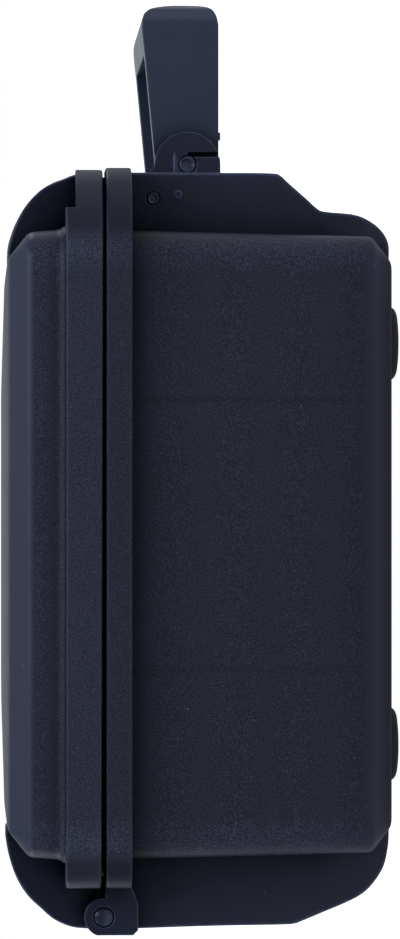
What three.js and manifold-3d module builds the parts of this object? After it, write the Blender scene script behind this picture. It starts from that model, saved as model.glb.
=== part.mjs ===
// A moulded transport case lying on its four feet, lid up, with the handle held straight out.
// Millimetres. X runs along the length, -Y is the latch side, +Y the hinge side, +Z is up.
// The model is built about the middle of the body, then set so that its origin lies on the
// floor under the middle of the whole box, handle and hinge lugs included.
import * as THREE from "three";
import { mergeVertices } from "three/addons/utils/BufferGeometryUtils.js";
import Module from "manifold-3d";

const wasm = await Module();
wasm.setup();

// Body and lid.
const caseLength = 480;
const bodyDepth = 304;
const bodyCornerRadius = 15;
const leastCornerRadius = 2;
const wall = 4.5;
const footHeight = 4.5;
const baseHeight = 138.9;
const lidHeight = 48;
const rimGap = 2.2;
const wallDraft = 3;
const lidDraft = 1.2;
const bevelRun = 13;
const bevelHeight = 10.3;
const edgeRounding = 2.4;
const innerRounding = 5;
const lidShoulder = 1.6;
const lidCrown = 1.5;
const crownRun = 62;
const crownShoulderShare = 0.2;

// Rims that close on each other.
const rimEndOverhang = 10;
const rimFrontOverhang = 30.4;
const rimBackOverhang = 12.9;
const rimFrontRadius = 32;
const rimBackRadius = 14;
const rimChamfer = 1.2;
const baseRimHeight = 12.6;
const lidRimHeight = 17;
const lidFrontRimHeight = 12;
const lidRimSetback = 1;
const lidCollarGrow = 2;
const lidCollarHeight = 2.6;
const seatDepth = 12;
const lidStepSetback = 2.2;
const rimSkirt = 3;
const rimPlate = 5;
const pocketLength = 21;
const pocketPitch = 25;
const pocketCount = 8;
const padlockHoleRadius = 4;
const padlockInset = 26;
const padlockSetback = 16;

// Seal between the rims.
const sealWidth = 5.4;
const sealHeight = 2.6;
const sealClearance = 0.3;
const grooveDepth = 4.6;
const grooveOffset = 0.5;
const ridgeWidth = 3;

// Wings that guard the latches at the front and the hinges at the back.
const latchFromEnd = 80;
const bayHalf = 30;
const wingThickness = 5;
const wingRoot = 16;
const frontWingOverhang = 29;
const backWingOverhang = 34.7;
const wingHoleRadius = 1.5;
const wingHoleFromAxisY = 11.3;
const wingHoleFromAxisZ = 6.2;

// Latches: a lever on a pin between the wings, and a hook that the lever lifts.
const latchHalf = 28;
const leverPinRadius = 3.2;
const leverPinFromWall = 16.3;
const leverPinBelowRim = 23.8;
const hookPinRadius = 2.6;
const hookPinInset = 0.8;
const hookPinDrop = 11;
const cheekWidth = 8.5;
const cheekRadius = 6.5;
const knuckleRadius = 5;
const pinClearance = 0.3;
const sideClearance = 0.4;
const leverFront = 12.2;
const leverPlate = 5;
const leverTop = 10.7;
const leverLength = 42.5;
const leverLip = 5.5;
const leverLipDepth = 10;
const tongueFront = 8.7;
const tongueThickness = 3.8;
const tongueTurnShare = 0.6;
const hookFront = 10.6;
const hookPlate = 4;
const hookShoulder = 10.5;
const hookFlange = 4;
const hookFlangeDepth = 8.5;
const clawThickness = 4.6;
const clawReach = 8;
const clawGap = 0.3;

// Handle and the lugs that carry it.
const handleWidth = 166;
const handleReach = 83.4;
const pivotFromWall = 39.2;
const pivotBelowRim = 44.4;
const armThickness = 12;
const gripThickness = 25;
const armLower = 16.1;
const armUpperAtPivot = 16;
const armUpperAtTip = 23.1;
const gripCorner = 15;
const gripInnerCorner = 10;
const gripUpperRound = 13;
const gripLowerRound = 9;
const gripTipCrown = 2;
const gripRiseShare = 0.25;
const gripSkin = 3.2;
const gripRib = 2.4;
const gripRibCount = 5;
const gripPocketDepth = 15;
const armPocketDepth = 8;
const stubRadius = 4.5;
const lugThickness = 7;
const lugRadius = 16.8;
const lugGap = 0.3;
const lugRootDrop = 26;
const lugRootInset = 6;
const snapSlot = 3;
const snapSlotOffset = 4.9;
const nubLength = 3.5;
const nubHeight = 1;
const nubFromPivot = 14.9;

// Hinges.
const hingeAxisFromWall = 28.8;
const hingeAxisAboveRim = 0.5;
const hingePinRadius = 4.7;
const hingePinDome = 1.3;
const hingeHoleClearance = 0.4;
const baseKnuckleRadius = 9.4;
const lidKnuckleRadius = 7.8;
const baseLugBack = 8.8;
const innerLugRise = 2.2;
const baseLugChamfer = 2.4;
const baseLugDrop = 16.2;
const baseLugStep = 9.2;
const outerLugFromEnd = 35;
const outerLugWidth = 10;
const lidKnuckleWidth = 40;
const innerLugWidth = 11;
const knuckleGap = 0.5;

// Feet.
const footRadius = 18;
const footTread = 12;
const footShoulder = 15.6;
const footShoulderRise = 0.8;
const footFlankRise = 2.3;
const footFromEnd = 55;
const footFromWall = 54;
const footSeat = 1.8;
const footClearance = 0.3;

// Pressure vent in the front wall.
const ventFromRim = 39;
const ventSeatRadius = 16;
const ventSeatProud = 1.8;
const ventStemRadius = 7;
const ventStemClearance = 0.4;
const ventStemLength = 7;
const ventFlangeRadius = 12.5;
const ventFlangeThickness = 3.4;
const ventCapRadius = 10;
const ventCapHeight = 2.6;
const ventCapRound = 2.8;
const ventCapSlots = 6;
const ventCapSlotWidth = 1.6;
const ventCapSlotDepth = 1.2;
const ventGasketThickness = 1.5;
const ventNutRadius = 12;
const ventNutThickness = 5;
const ventClearance = 0.3;

// Shallow bands in the end walls.
const bandDepth = 0.6;
const bandWidth = 5;
const bandFromFront = 84;
const bandFromBack = 90.2;

// Counts of facets, and the overrun of cuts.
const cornerSteps = 6;
const filletSteps = 3;
const innerSteps = 2;
const roundSteps = 20;
const splineSteps = 4;
const overrun = 1;
const mergeTolerance = 1e-4;
const flatTolerance = 0.02;

// Heights and depths worked out from the sizes above.
const underside = footHeight;
const baseTop = underside + baseHeight;
const lidBottom = baseTop + rimGap;
const lidTop = lidBottom + lidHeight;
const baseRimLow = baseTop - baseRimHeight;
const lidRimTop = lidBottom + lidRimHeight;
const lidFrontRimTop = lidBottom + lidFrontRimHeight;
const latchX = caseLength / 2 - latchFromEnd;
const outerLugX = caseLength / 2 - outerLugFromEnd;
const footX = caseLength / 2 - footFromEnd;
const footY = bodyDepth / 2 - footFromWall;
const frontWallY = -bodyDepth / 2;
const backWallY = bodyDepth / 2;
const seatY = frontWallY - seatDepth;
const rimFrontY = frontWallY - rimFrontOverhang;
const wingOuterX = latchX + bayHalf + wingThickness;
const wingInnerX = latchX - bayHalf;
const leverPinY = frontWallY - leverPinFromWall;
const leverPinZ = baseTop - leverPinBelowRim;
const hookPinY = leverPinY + hookPinInset;
const hookPinZ = leverPinZ - hookPinDrop;
const pivotY = frontWallY - pivotFromWall;
const pivotZ = baseTop - pivotBelowRim;
const handleTipY = pivotY - handleReach;
const hingeY = backWallY + hingeAxisFromWall;
const hingeZ = baseTop + hingeAxisAboveRim;
const hingeBackY = hingeY + baseLugBack;
const grooveTop = lidBottom + grooveDepth;

function look(color, roughness) {
  return new THREE.MeshStandardMaterial({ color, roughness, metalness: 0 });
}

const shellLook = look(0x23252e, 0.62);
const smoothLook = look(0x262a35, 0.42);
const rubberLook = look(0x17181b, 0.85);
const pinLook = look(0x2b2f3a, 0.3);

// A closed three.js geometry as a solid that can be joined and cut.
function solid(geometry) {
  const bare = geometry.clone();
  bare.deleteAttribute("normal");
  bare.deleteAttribute("uv");
  const merged = mergeVertices(bare, mergeTolerance);
  return new wasm.Manifold(
    new wasm.Mesh({
      numProp: 3,
      vertProperties: merged.attributes.position.array,
      triVerts: new Uint32Array(merged.index.array),
    }),
  );
}

function join(first, ...others) {
  return others.reduce((whole, other) => whole.add(other), first);
}

function cut(body, ...tools) {
  return tools.reduce((left, tool) => left.subtract(tool), body);
}

function piece(name, body, material) {
  const made = body.getMesh();
  const geometry = new THREE.BufferGeometry();
  geometry.setAttribute("position", new THREE.BufferAttribute(made.vertProperties, 3));
  geometry.setIndex(new THREE.BufferAttribute(made.triVerts, 1));
  geometry.computeVertexNormals();
  const mesh = new THREE.Mesh(geometry, material);
  mesh.name = name;
  return mesh;
}

// A block between two corners.
function block(x, y, z) {
  const box = new THREE.BoxGeometry(x[1] - x[0], y[1] - y[0], z[1] - z[0]);
  box.translate((x[0] + x[1]) / 2, (y[0] + y[1]) / 2, (z[0] + z[1]) / 2);
  return solid(box);
}

// A profile drawn in Y and Z, run along X.
function alongX(shape, xLow, xHigh, steps = splineSteps) {
  const run = new THREE.ExtrudeGeometry(shape, {
    depth: xHigh - xLow,
    bevelEnabled: false,
    curveSegments: steps,
  });
  const turn = new THREE.Matrix4().makeBasis(
    new THREE.Vector3(0, 1, 0),
    new THREE.Vector3(0, 0, 1),
    new THREE.Vector3(1, 0, 0),
  );
  run.applyMatrix4(turn);
  run.translate(xLow, 0, 0);
  return solid(run);
}

// A rod along X, Y or Z through a point.
function rodX(radius, xLow, xHigh, y, z) {
  const rod = new THREE.CylinderGeometry(radius, radius, xHigh - xLow, roundSteps);
  rod.rotateZ(Math.PI / 2);
  rod.translate((xLow + xHigh) / 2, y, z);
  return solid(rod);
}

function rodY(radius, x, yLow, yHigh, z) {
  const rod = new THREE.CylinderGeometry(radius, radius, yHigh - yLow, roundSteps);
  rod.translate(x, (yLow + yHigh) / 2, z);
  return solid(rod);
}

function rodZ(radius, x, y, zLow, zHigh) {
  const rod = new THREE.CylinderGeometry(radius, radius, zHigh - zLow, roundSteps);
  rod.rotateX(Math.PI / 2);
  rod.translate(x, y, (zLow + zHigh) / 2);
  return solid(rod);
}

function shapeOf(points) {
  return new THREE.Shape(points.map(([across, up]) => new THREE.Vector2(across, up)));
}

// The plan of a shell or rim, drawn in by inset, counterclockwise seen from above.
function planPoints(plan, inset) {
  const corners = [
    [1, plan.front + inset, plan.frontRadius, -0.5],
    [1, plan.back - inset, plan.backRadius, 0],
    [-1, plan.back - inset, plan.backRadius, 0.5],
    [-1, plan.front + inset, plan.frontRadius, 1],
  ];
  return corners.flatMap(([side, edge, fullRadius, startHalfTurns]) => {
    const radius = Math.max(fullRadius - inset, leastCornerRadius);
    const towardMiddle = edge < 0 ? radius : -radius;
    const middleX = side * (plan.halfLength - inset - radius);
    return Array.from({ length: cornerSteps + 1 }, (_, step) => {
      const angle = Math.PI * (startHalfTurns + step / cornerSteps / 2);
      return new THREE.Vector2(
        middleX + radius * Math.cos(angle),
        edge + towardMiddle + radius * Math.sin(angle),
      );
    });
  });
}

// Rounds the corners of a section, each point an inset and a height.
function rounded(corners, run, steps) {
  const path = new THREE.Path();
  const points = corners.map(([inset, height]) => new THREE.Vector2(inset, height));
  const near = (corner, other) => other.clone().sub(corner).setLength(run).add(corner);
  path.moveTo(points[0].x, points[0].y);
  points.slice(1, -1).forEach((corner, index) => {
    const before = near(corner, points[index]);
    const after = near(corner, points[index + 2]);
    path.lineTo(before.x, before.y);
    path.quadraticCurveTo(corner.x, corner.y, after.x, after.y);
  });
  path.lineTo(points.at(-1).x, points.at(-1).y);
  return path.getPoints(steps);
}

// A solid whose outline follows the plan, drawn in at each height as the section says.
function lofted(plan, section) {
  const rings = section.map((point) => planPoints(plan, point.x));
  const count = rings[0].length;
  const positions = rings.flatMap((ring, level) =>
    ring.flatMap((point) => [point.x, point.y, section[level].y]),
  );
  const faces = [];
  for (let level = 0; level + 1 < rings.length; level += 1) {
    for (let i = 0; i < count; i += 1) {
      const next = (i + 1) % count;
      const low = level * count;
      const high = low + count;
      faces.push(low + i, low + next, high + next, low + i, high + next, high + i);
    }
  }
  const top = (rings.length - 1) * count;
  for (let i = 1; i + 1 < count; i += 1) {
    faces.push(0, i + 1, i, top, top + i, top + i + 1);
  }
  const geometry = new THREE.BufferGeometry();
  geometry.setAttribute("position", new THREE.Float32BufferAttribute(positions, 3));
  geometry.setIndex(faces);
  return solid(geometry);
}

const bodyPlan = {
  halfLength: caseLength / 2 - rimEndOverhang,
  front: frontWallY,
  back: backWallY,
  frontRadius: bodyCornerRadius,
  backRadius: bodyCornerRadius,
};

const baseRimPlan = {
  halfLength: caseLength / 2,
  front: rimFrontY,
  back: backWallY + rimBackOverhang,
  frontRadius: rimFrontRadius,
  backRadius: rimBackRadius,
};

const lidRimPlan = { ...baseRimPlan, front: rimFrontY + lidRimSetback };

function chamferedRim(plan, low, high) {
  return lofted(plan, [
    new THREE.Vector2(rimChamfer, low),
    new THREE.Vector2(0, low + rimChamfer),
    new THREE.Vector2(0, high - rimChamfer),
    new THREE.Vector2(rimChamfer, high),
  ]);
}

// A ring that follows the body's plan, between two offsets from the outside of the wall.
function planBand(innerInset, outerInset, low, high) {
  const flat = (inset) => [new THREE.Vector2(inset, low), new THREE.Vector2(inset, high)];
  const core = [
    new THREE.Vector2(innerInset, low - overrun),
    new THREE.Vector2(innerInset, high + overrun),
  ];
  return cut(lofted(bodyPlan, flat(outerInset)), lofted(bodyPlan, core));
}

// Does something on both ends of the case.
function bothSides(make) {
  return [-1, 1].map(make);
}

// A range of X on one side of the case, from its distances to the middle.
function sideRange(side, near, far) {
  return side < 0 ? [-far, -near] : [near, far];
}

// Wing outlines, as shares of the overhang from the wall and of the height of the shell.
const baseFrontWingShares = [
  [1, 0.54],
  [0.99, 0.445],
  [0.955, 0.42],
  [0.832, 0.389],
  [0.56, 0.318],
  [0.39, 0.274],
  [0.345, 0.24],
  [0.287, 0.123],
  [0.096, 0.044],
  [-0.16, 0.004],
  [-0.45, 0],
];
const baseBackWingShares = [
  [1.017, 0.965],
  [0.965, 0.354],
  [0.758, 0.222],
  [0.47, 0.0835],
  [0.147, 0.024],
  [-0.1, 0.002],
  [-0.3, 0],
];
const lidFrontWingShares = [
  [0.96, 0.05],
  [0.976, 0.233],
  [0.93, 0.31],
  [0.76, 0.479],
  [0.59, 0.623],
  [0.352, 0.752],
  [0.138, 0.85],
  [-0.076, 0.908],
  [-0.334, 0.94],
];
const lidBackWingShares = [
  [1.037, 0.129],
  [1.02, 0.29],
  [0.931, 0.44],
  [0.76, 0.58],
  [0.553, 0.7],
  [0.265, 0.856],
  [0.014, 0.933],
  [-0.236, 0.96],
];

// Drops the points of a curve that hardly stand off the line between their neighbours.
function thinned(points) {
  return points.filter((point, index) => {
    if (index === 0 || index === points.length - 1) return true;
    const along = points[index + 1].clone().sub(points[index - 1]);
    const off = Math.abs(along.cross(point.clone().sub(points[index - 1])));
    return off > along.length() * flatTolerance;
  });
}

// A wing plate: its free edge follows the shares, and its root is sunk in the wall.
function wing(shares, wallY, overhang, lowZ, fullHeight, rootZ, xRange) {
  const rootY = wallY - Math.sign(wallY) * wingRoot;
  const place = ([out, up]) =>
    new THREE.Vector2(wallY + Math.sign(wallY) * out * overhang, lowZ + up * fullHeight);
  const corners = shares.slice(0, 2).map(place);
  const curve = new THREE.SplineCurve(shares.slice(1).map(place));
  const edge = thinned(curve.getPoints((shares.length - 2) * splineSteps));
  const outline = [
    new THREE.Vector2(rootY, rootZ[0]),
    new THREE.Vector2(corners[0].x, rootZ[0]),
    corners[0],
    ...edge,
    new THREE.Vector2(rootY, rootZ[1]),
  ];
  return alongX(new THREE.Shape(outline), xRange[0], xRange[1]);
}

function frontWingRanges() {
  return [-1, 1].flatMap((side) => [
    sideRange(side, wingInnerX - wingThickness, wingInnerX),
    sideRange(side, wingOuterX - wingThickness, wingOuterX),
  ]);
}

// The lug that a handle stub snaps into through a slot in its lower edge.
function handleLug(side) {
  const range = sideRange(side, handleWidth / 2 + lugGap, handleWidth / 2 + lugGap + lugThickness);
  const rootY = frontWallY + lugRootInset;
  const root = shapeOf([
    [pivotY, pivotZ + lugRadius],
    [seatY, baseRimLow + rimChamfer],
    [rootY, baseRimLow + rimChamfer],
    [rootY, pivotZ - lugRootDrop],
    [pivotY + lugRadius / 2, pivotZ - lugRadius],
    [pivotY, pivotZ - lugRadius],
  ]);
  const slotLow = pivotZ - lugRadius - overrun;
  const slotY = pivotY - snapSlotOffset;
  const slot = block(
    [range[0] - overrun, range[1] + overrun],
    [slotY - snapSlot / 2, slotY + snapSlot / 2],
    [slotLow, pivotZ],
  );
  return {
    body: join(
      rodX(lugRadius, range[0], range[1], pivotY, pivotZ),
      alongX(root, range[0], range[1]),
    ),
    holes: join(
      rodX(stubRadius + pinClearance, range[0] - overrun, range[1] + overrun, pivotY, pivotZ),
      slot,
    ),
  };
}

// One knuckle of the base: a block behind the rim with a round eye.
function baseKnuckle(range, rise) {
  const backOfRim = backWallY + rimBackOverhang;
  const start = backOfRim - rimBackOverhang / 2;
  const low = baseTop - baseLugDrop;
  const top = [
    [start, baseTop],
    [backOfRim + rimGap / 2, baseTop],
    [backOfRim + rimGap / 2, baseTop + rise],
    [hingeBackY, baseTop + rise],
  ];
  const profile = shapeOf([
    ...(rise > 0 ? top : [top[0], top[3]]),
    [hingeBackY, low + baseLugChamfer],
    [hingeBackY - baseLugChamfer, low],
    [backOfRim + baseLugStep, low],
    [backOfRim, baseRimLow],
    [start, baseRimLow],
  ]);
  const flat = block(
    [range[0] - overrun, range[1] + overrun],
    [hingeBackY, hingeBackY + baseKnuckleRadius],
    [hingeZ - baseKnuckleRadius, hingeZ + baseKnuckleRadius],
  );
  return join(
    alongX(profile, range[0], range[1]),
    cut(rodX(baseKnuckleRadius, range[0], range[1], hingeY, hingeZ), flat),
  );
}

function outerLug(side) {
  return sideRange(side, outerLugX - outerLugWidth, outerLugX);
}

function lidKnuckleRange(side) {
  const far = outerLugX - outerLugWidth - wingThickness - knuckleGap;
  return sideRange(side, far - lidKnuckleWidth, far);
}

function innerLug(side) {
  const far = outerLugX - outerLugWidth - wingThickness - knuckleGap - lidKnuckleWidth - knuckleGap;
  return sideRange(side, far - innerLugWidth, far);
}

function hingeHole(side) {
  const range = sideRange(side, innerLug(1)[0] - overrun, outerLugX + overrun);
  return rodX(hingePinRadius + hingeHoleClearance, range[0], range[1], hingeY, hingeZ);
}

// Open pockets in the middle of a front flange leave thin ribs between them.
function flangePockets(low, high) {
  const first = (-(pocketCount - 1) * pocketPitch) / 2;
  return Array.from({ length: pocketCount }, (_, index) => {
    const middle = first + index * pocketPitch;
    return block(
      [middle - pocketLength / 2, middle + pocketLength / 2],
      [rimFrontY + lidRimSetback + rimSkirt, seatY + rimPlate],
      [low, high],
    );
  });
}

// A soft groove down the end wall, parallel to the drafted wall.
function endBand(side, y) {
  const radius = (bandWidth * bandWidth) / 8 / bandDepth + bandDepth / 2;
  const lean = Math.atan(wallDraft / baseHeight);
  const low = underside + bevelHeight + edgeRounding * 2;
  const high = baseRimLow - rimChamfer;
  const rod = new THREE.CylinderGeometry(radius, radius, (high - low) / Math.cos(lean), roundSteps);
  rod.rotateX(Math.PI / 2);
  rod.rotateY(side * lean);
  const middleZ = (low + high) / 2;
  const drawnIn = (wallDraft * (baseTop - middleZ)) / baseHeight;
  rod.translate(side * (bodyPlan.halfLength - drawnIn + radius - bandDepth), y, middleZ);
  return solid(rod);
}

function ventHeight() {
  return baseTop - ventFromRim;
}

function ventWallY() {
  return frontWallY + (wallDraft * ventFromRim) / baseHeight;
}

const ventSeatY = ventWallY() - ventSeatProud;
const ventInnerSeatY = ventWallY() + wall + ventSeatProud / 2;

function footSockets() {
  return [-1, 1].flatMap((side) =>
    [-1, 1].map((end) =>
      rodZ(
        footRadius + footClearance,
        side * footX,
        end * footY,
        underside - overrun,
        underside + footSeat,
      ),
    ),
  );
}

function padlockHoles(low, high) {
  return bothSides((side) =>
    rodZ(
      padlockHoleRadius,
      side * (caseLength / 2 - padlockInset),
      rimFrontY + padlockSetback,
      low - overrun,
      high + overrun,
    ),
  );
}

// The rims are cut back between each pair of wings, so that the hook can pass.
function latchBays(low, high) {
  return bothSides((side) =>
    block(
      sideRange(side, wingInnerX, wingInnerX + 2 * bayHalf),
      [rimFrontY - overrun, seatY],
      [low - overrun, high + overrun],
    ),
  );
}

function baseShell() {
  const outside = lofted(
    bodyPlan,
    rounded(
      [
        [wallDraft + bevelRun + edgeRounding * 2, underside],
        [wallDraft + bevelRun, underside],
        [wallDraft, underside + bevelHeight],
        [0, baseTop],
      ],
      edgeRounding,
      filletSteps,
    ),
  );
  const inside = lofted(
    bodyPlan,
    rounded(
      [
        [wallDraft + bevelRun + wall + innerRounding * 2, underside + wall],
        [wallDraft + bevelRun + wall / 2, underside + wall],
        [wallDraft + wall, underside + bevelHeight + wall / 2],
        [wall, baseTop + overrun],
      ],
      innerRounding,
      innerSteps,
    ),
  );
  const rim = cut(
    chamferedRim(baseRimPlan, baseRimLow, baseTop),
    ...latchBays(baseRimLow, baseTop),
    ...flangePockets(baseRimLow - overrun, baseTop - rimPlate),
  );
  const frontWings = frontWingRanges().map((range) =>
    wing(
      baseFrontWingShares,
      frontWallY,
      frontWingOverhang,
      underside,
      baseHeight - baseRimHeight,
      [baseTop, underside],
      range,
    ),
  );
  const backWings = bothSides((side) =>
    wing(
      baseBackWingShares,
      backWallY,
      backWingOverhang,
      underside,
      baseHeight - baseRimHeight,
      [baseRimLow + rimChamfer / 2, underside],
      sideRange(side, outerLugX - outerLugWidth - wingThickness, outerLugX - outerLugWidth),
    ),
  );
  const ridge = planBand(
    ridgeWidth / 2 - grooveOffset,
    -ridgeWidth / 2 - grooveOffset,
    baseTop - overrun,
    grooveTop - sealHeight - sealClearance * 2,
  );
  const lugs = bothSides(handleLug);
  const knuckles = bothSides((side) =>
    join(baseKnuckle(outerLug(side), 0), baseKnuckle(innerLug(side), innerLugRise)),
  );
  const lugBodies = lugs.map((lug) => lug.body);
  const ventSeat = rodY(ventSeatRadius, 0, ventSeatY, ventInnerSeatY, ventHeight());
  const ventInside = rodY(ventSeatRadius, 0, ventWallY(), ventInnerSeatY, ventHeight());
  const outer = join(outside, rim, ...frontWings, ...backWings, ...lugBodies, ...knuckles, ventSeat);
  return cut(
    join(cut(outer, inside), ridge, ventInside),
    ...lugs.map((lug) => lug.holes),
    ...bothSides(hingeHole),
    ...bothSides((side) => {
      const range = sideRange(side, wingInnerX - wingThickness - overrun, wingOuterX + overrun);
      return rodX(leverPinRadius + pinClearance, range[0], range[1], leverPinY, leverPinZ);
    }),
    ...bothSides((side) => endBand(side, frontWallY + bandFromFront)),
    ...bothSides((side) => endBand(side, backWallY - bandFromBack)),
    ...footSockets(),
    ...padlockHoles(baseRimLow, baseTop),
    rodY(
      ventStemRadius + ventStemClearance,
      0,
      ventSeatY - overrun,
      ventInnerSeatY + overrun,
      ventHeight(),
    ),
  );
}

function lidShell() {
  const crown = lidTop - lidCrown;
  const outside = lofted(
    bodyPlan,
    rounded(
      [
        [-lidCollarGrow, lidBottom],
        [-lidCollarGrow, lidRimTop + lidCollarHeight - lidCollarGrow],
        [0, lidRimTop + lidCollarHeight],
        [lidDraft, crown - lidShoulder - bevelHeight],
        [lidDraft + bevelRun, crown - lidShoulder],
        [lidDraft + bevelRun + crownRun * crownShoulderShare, crown],
        [lidDraft + bevelRun + crownRun, lidTop],
        [lidDraft + bevelRun + crownRun + edgeRounding * 2, lidTop],
      ],
      edgeRounding / 2,
      filletSteps,
    ),
  );
  const inside = lofted(
    bodyPlan,
    rounded(
      [
        [wall, lidBottom - overrun],
        [lidDraft + wall, crown - lidShoulder - bevelHeight - wall / 2],
        [lidDraft + bevelRun + wall / 2, crown - lidShoulder - wall],
        [lidDraft + bevelRun + crownRun, crown - wall / 2],
        [lidDraft + bevelRun + crownRun + innerRounding * 2, crown - wall / 2],
      ],
      innerRounding / 2,
      innerSteps,
    ),
  );
  const frontStep = block(
    [-caseLength / 2 - overrun, caseLength / 2 + overrun],
    [rimFrontY - overrun, seatY + lidStepSetback],
    [lidFrontRimTop, lidRimTop + overrun],
  );
  const rim = cut(
    chamferedRim(lidRimPlan, lidBottom, lidRimTop),
    frontStep,
    ...latchBays(lidBottom, lidRimTop),
    ...flangePockets(lidBottom - overrun, lidFrontRimTop - rimPlate),
  );
  const frontWings = frontWingRanges().map((range) =>
    wing(
      lidFrontWingShares,
      frontWallY,
      frontWingOverhang,
      lidBottom,
      lidHeight,
      [lidBottom, lidBottom + lidHeight * lidFrontWingShares.at(-1)[1]],
      range,
    ),
  );
  const backWings = bothSides((side) => {
    const far = lidKnuckleRange(1)[1];
    return wing(
      lidBackWingShares,
      backWallY,
      backWingOverhang,
      lidBottom,
      lidHeight,
      [lidBottom, lidBottom + lidHeight * lidBackWingShares.at(-1)[1]],
      sideRange(side, far - wingThickness, far),
    );
  });
  const knuckles = bothSides((side) => {
    const range = lidKnuckleRange(side);
    const arm = block(
      range,
      [backWallY + rimBackOverhang / 2, hingeY],
      [lidBottom, hingeZ + lidKnuckleRadius],
    );
    return join(arm, rodX(lidKnuckleRadius, range[0], range[1], hingeY, hingeZ));
  });
  const groove = planBand(
    sealWidth / 2 + sealClearance - grooveOffset,
    -sealWidth / 2 - sealClearance - grooveOffset,
    lidBottom - overrun,
    grooveTop,
  );
  const wingHoles = bothSides((side) => {
    const far = lidKnuckleRange(1)[1];
    const range = sideRange(side, far - wingThickness - overrun, far + overrun);
    return rodX(
      wingHoleRadius,
      range[0],
      range[1],
      hingeY - wingHoleFromAxisY,
      hingeZ + wingHoleFromAxisZ,
    );
  });
  return cut(
    join(outside, rim, ...frontWings, ...backWings, ...knuckles),
    inside,
    groove,
    ...bothSides(hingeHole),
    ...wingHoles,
    ...padlockHoles(lidBottom, lidFrontRimTop),
  );
}

function lidSeal() {
  return planBand(
    sealWidth / 2 - grooveOffset,
    -sealWidth / 2 - grooveOffset,
    grooveTop - sealClearance - sealHeight,
    grooveTop - sealClearance,
  );
}

// The hoop of the handle, seen from above.
function hoopPlan() {
  const half = handleWidth / 2;
  const innerHalf = half - armThickness;
  const gripInnerY = handleTipY + gripThickness;
  const armEnd = pivotY + armLower;
  const hoop = new THREE.Shape();
  hoop.moveTo(-half, armEnd);
  hoop.lineTo(-half, handleTipY + gripCorner);
  hoop.quadraticCurveTo(-half, handleTipY, -half + gripCorner, handleTipY);
  hoop.lineTo(half - gripCorner, handleTipY);
  hoop.quadraticCurveTo(half, handleTipY, half, handleTipY + gripCorner);
  hoop.lineTo(half, armEnd);
  hoop.lineTo(innerHalf, armEnd);
  hoop.lineTo(innerHalf, gripInnerY + gripInnerCorner);
  hoop.quadraticCurveTo(innerHalf, gripInnerY, innerHalf - gripInnerCorner, gripInnerY);
  hoop.lineTo(-innerHalf + gripInnerCorner, gripInnerY);
  hoop.quadraticCurveTo(-innerHalf, gripInnerY, -innerHalf, gripInnerY + gripInnerCorner);
  hoop.lineTo(-innerHalf, armEnd);
  return hoop;
}

// The side outline of the handle: a round end on the pivot, and a crowned grip at the tip.
function handleOutline(low, high) {
  const crownY = handleTipY + gripTipCrown;
  const armRise = (armUpperAtTip - armUpperAtPivot) * (1 - gripRiseShare);
  const outline = new THREE.Shape();
  outline.moveTo(pivotY, low);
  outline.absarc(pivotY, pivotZ, armLower, -Math.PI / 2, Math.PI / 2, false);
  outline.lineTo(handleTipY + gripUpperRound * 2, pivotZ + armUpperAtPivot + armRise);
  outline.lineTo(handleTipY + gripUpperRound, high);
  outline.quadraticCurveTo(crownY, high, crownY, high - gripUpperRound);
  outline.quadraticCurveTo(handleTipY - gripTipCrown, pivotZ, crownY, low + gripLowerRound);
  outline.quadraticCurveTo(crownY, low, handleTipY + gripLowerRound, low);
  return outline;
}

// The handle is its hoop cut to its side outline, with pockets and ribs in its inner faces.
function handle() {
  const half = handleWidth / 2;
  const innerHalf = half - armThickness;
  const gripInnerY = handleTipY + gripThickness;
  const low = pivotZ - armLower;
  const high = pivotZ + armUpperAtTip;
  const hoop = new THREE.ExtrudeGeometry(hoopPlan(), {
    depth: high - low + overrun * 2,
    bevelEnabled: false,
    curveSegments: cornerSteps,
  });
  hoop.translate(0, 0, low - overrun);
  const outline = alongX(handleOutline(low, high), -half - overrun, half + overrun, cornerSteps);
  const hollowHalf = half - armThickness - gripInnerCorner;
  const cell = (hollowHalf * 2 - (gripRibCount - 1) * gripRib) / gripRibCount;
  const gripPockets = Array.from({ length: gripRibCount }, (_, index) => {
    const start = -hollowHalf + index * (cell + gripRib);
    return block(
      [start, start + cell],
      [gripInnerY - gripPocketDepth, gripInnerY + overrun],
      [low + gripSkin * 2, high - gripSkin * 2],
    );
  });
  const armPocketY = [gripInnerY + gripInnerCorner, pivotY - armLower - gripRib];
  const armPockets = bothSides((end) =>
    block(
      sideRange(end, innerHalf - overrun, innerHalf + armPocketDepth),
      armPocketY,
      [low + gripSkin, pivotZ + armUpperAtPivot - gripSkin],
    ),
  );
  const ribY = (armPocketY[0] + armPocketY[1]) / 2;
  const armRibs = bothSides((end) =>
    block(
      sideRange(end, innerHalf + gripRib, half - gripSkin / 2),
      [ribY - gripRib / 2, ribY + gripRib / 2],
      [low + gripSkin / 2, pivotZ + armUpperAtPivot - gripSkin / 2],
    ),
  );
  const stubs = bothSides((end) => {
    const range = sideRange(end, half - armThickness / 2, half + lugGap + lugThickness);
    return rodX(stubRadius, range[0], range[1], pivotY, pivotZ);
  });
  const nubY = pivotY - nubFromPivot;
  const nubs = bothSides((end) =>
    block(
      sideRange(end, half - armThickness / 2, half),
      [nubY - nubLength / 2, nubY + nubLength / 2],
      [low - nubHeight, low + gripSkin],
    ),
  );
  const body = solid(hoop).intersect(outline);
  return join(cut(body, ...gripPockets, ...armPockets), ...armRibs, ...stubs, ...nubs);
}

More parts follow.
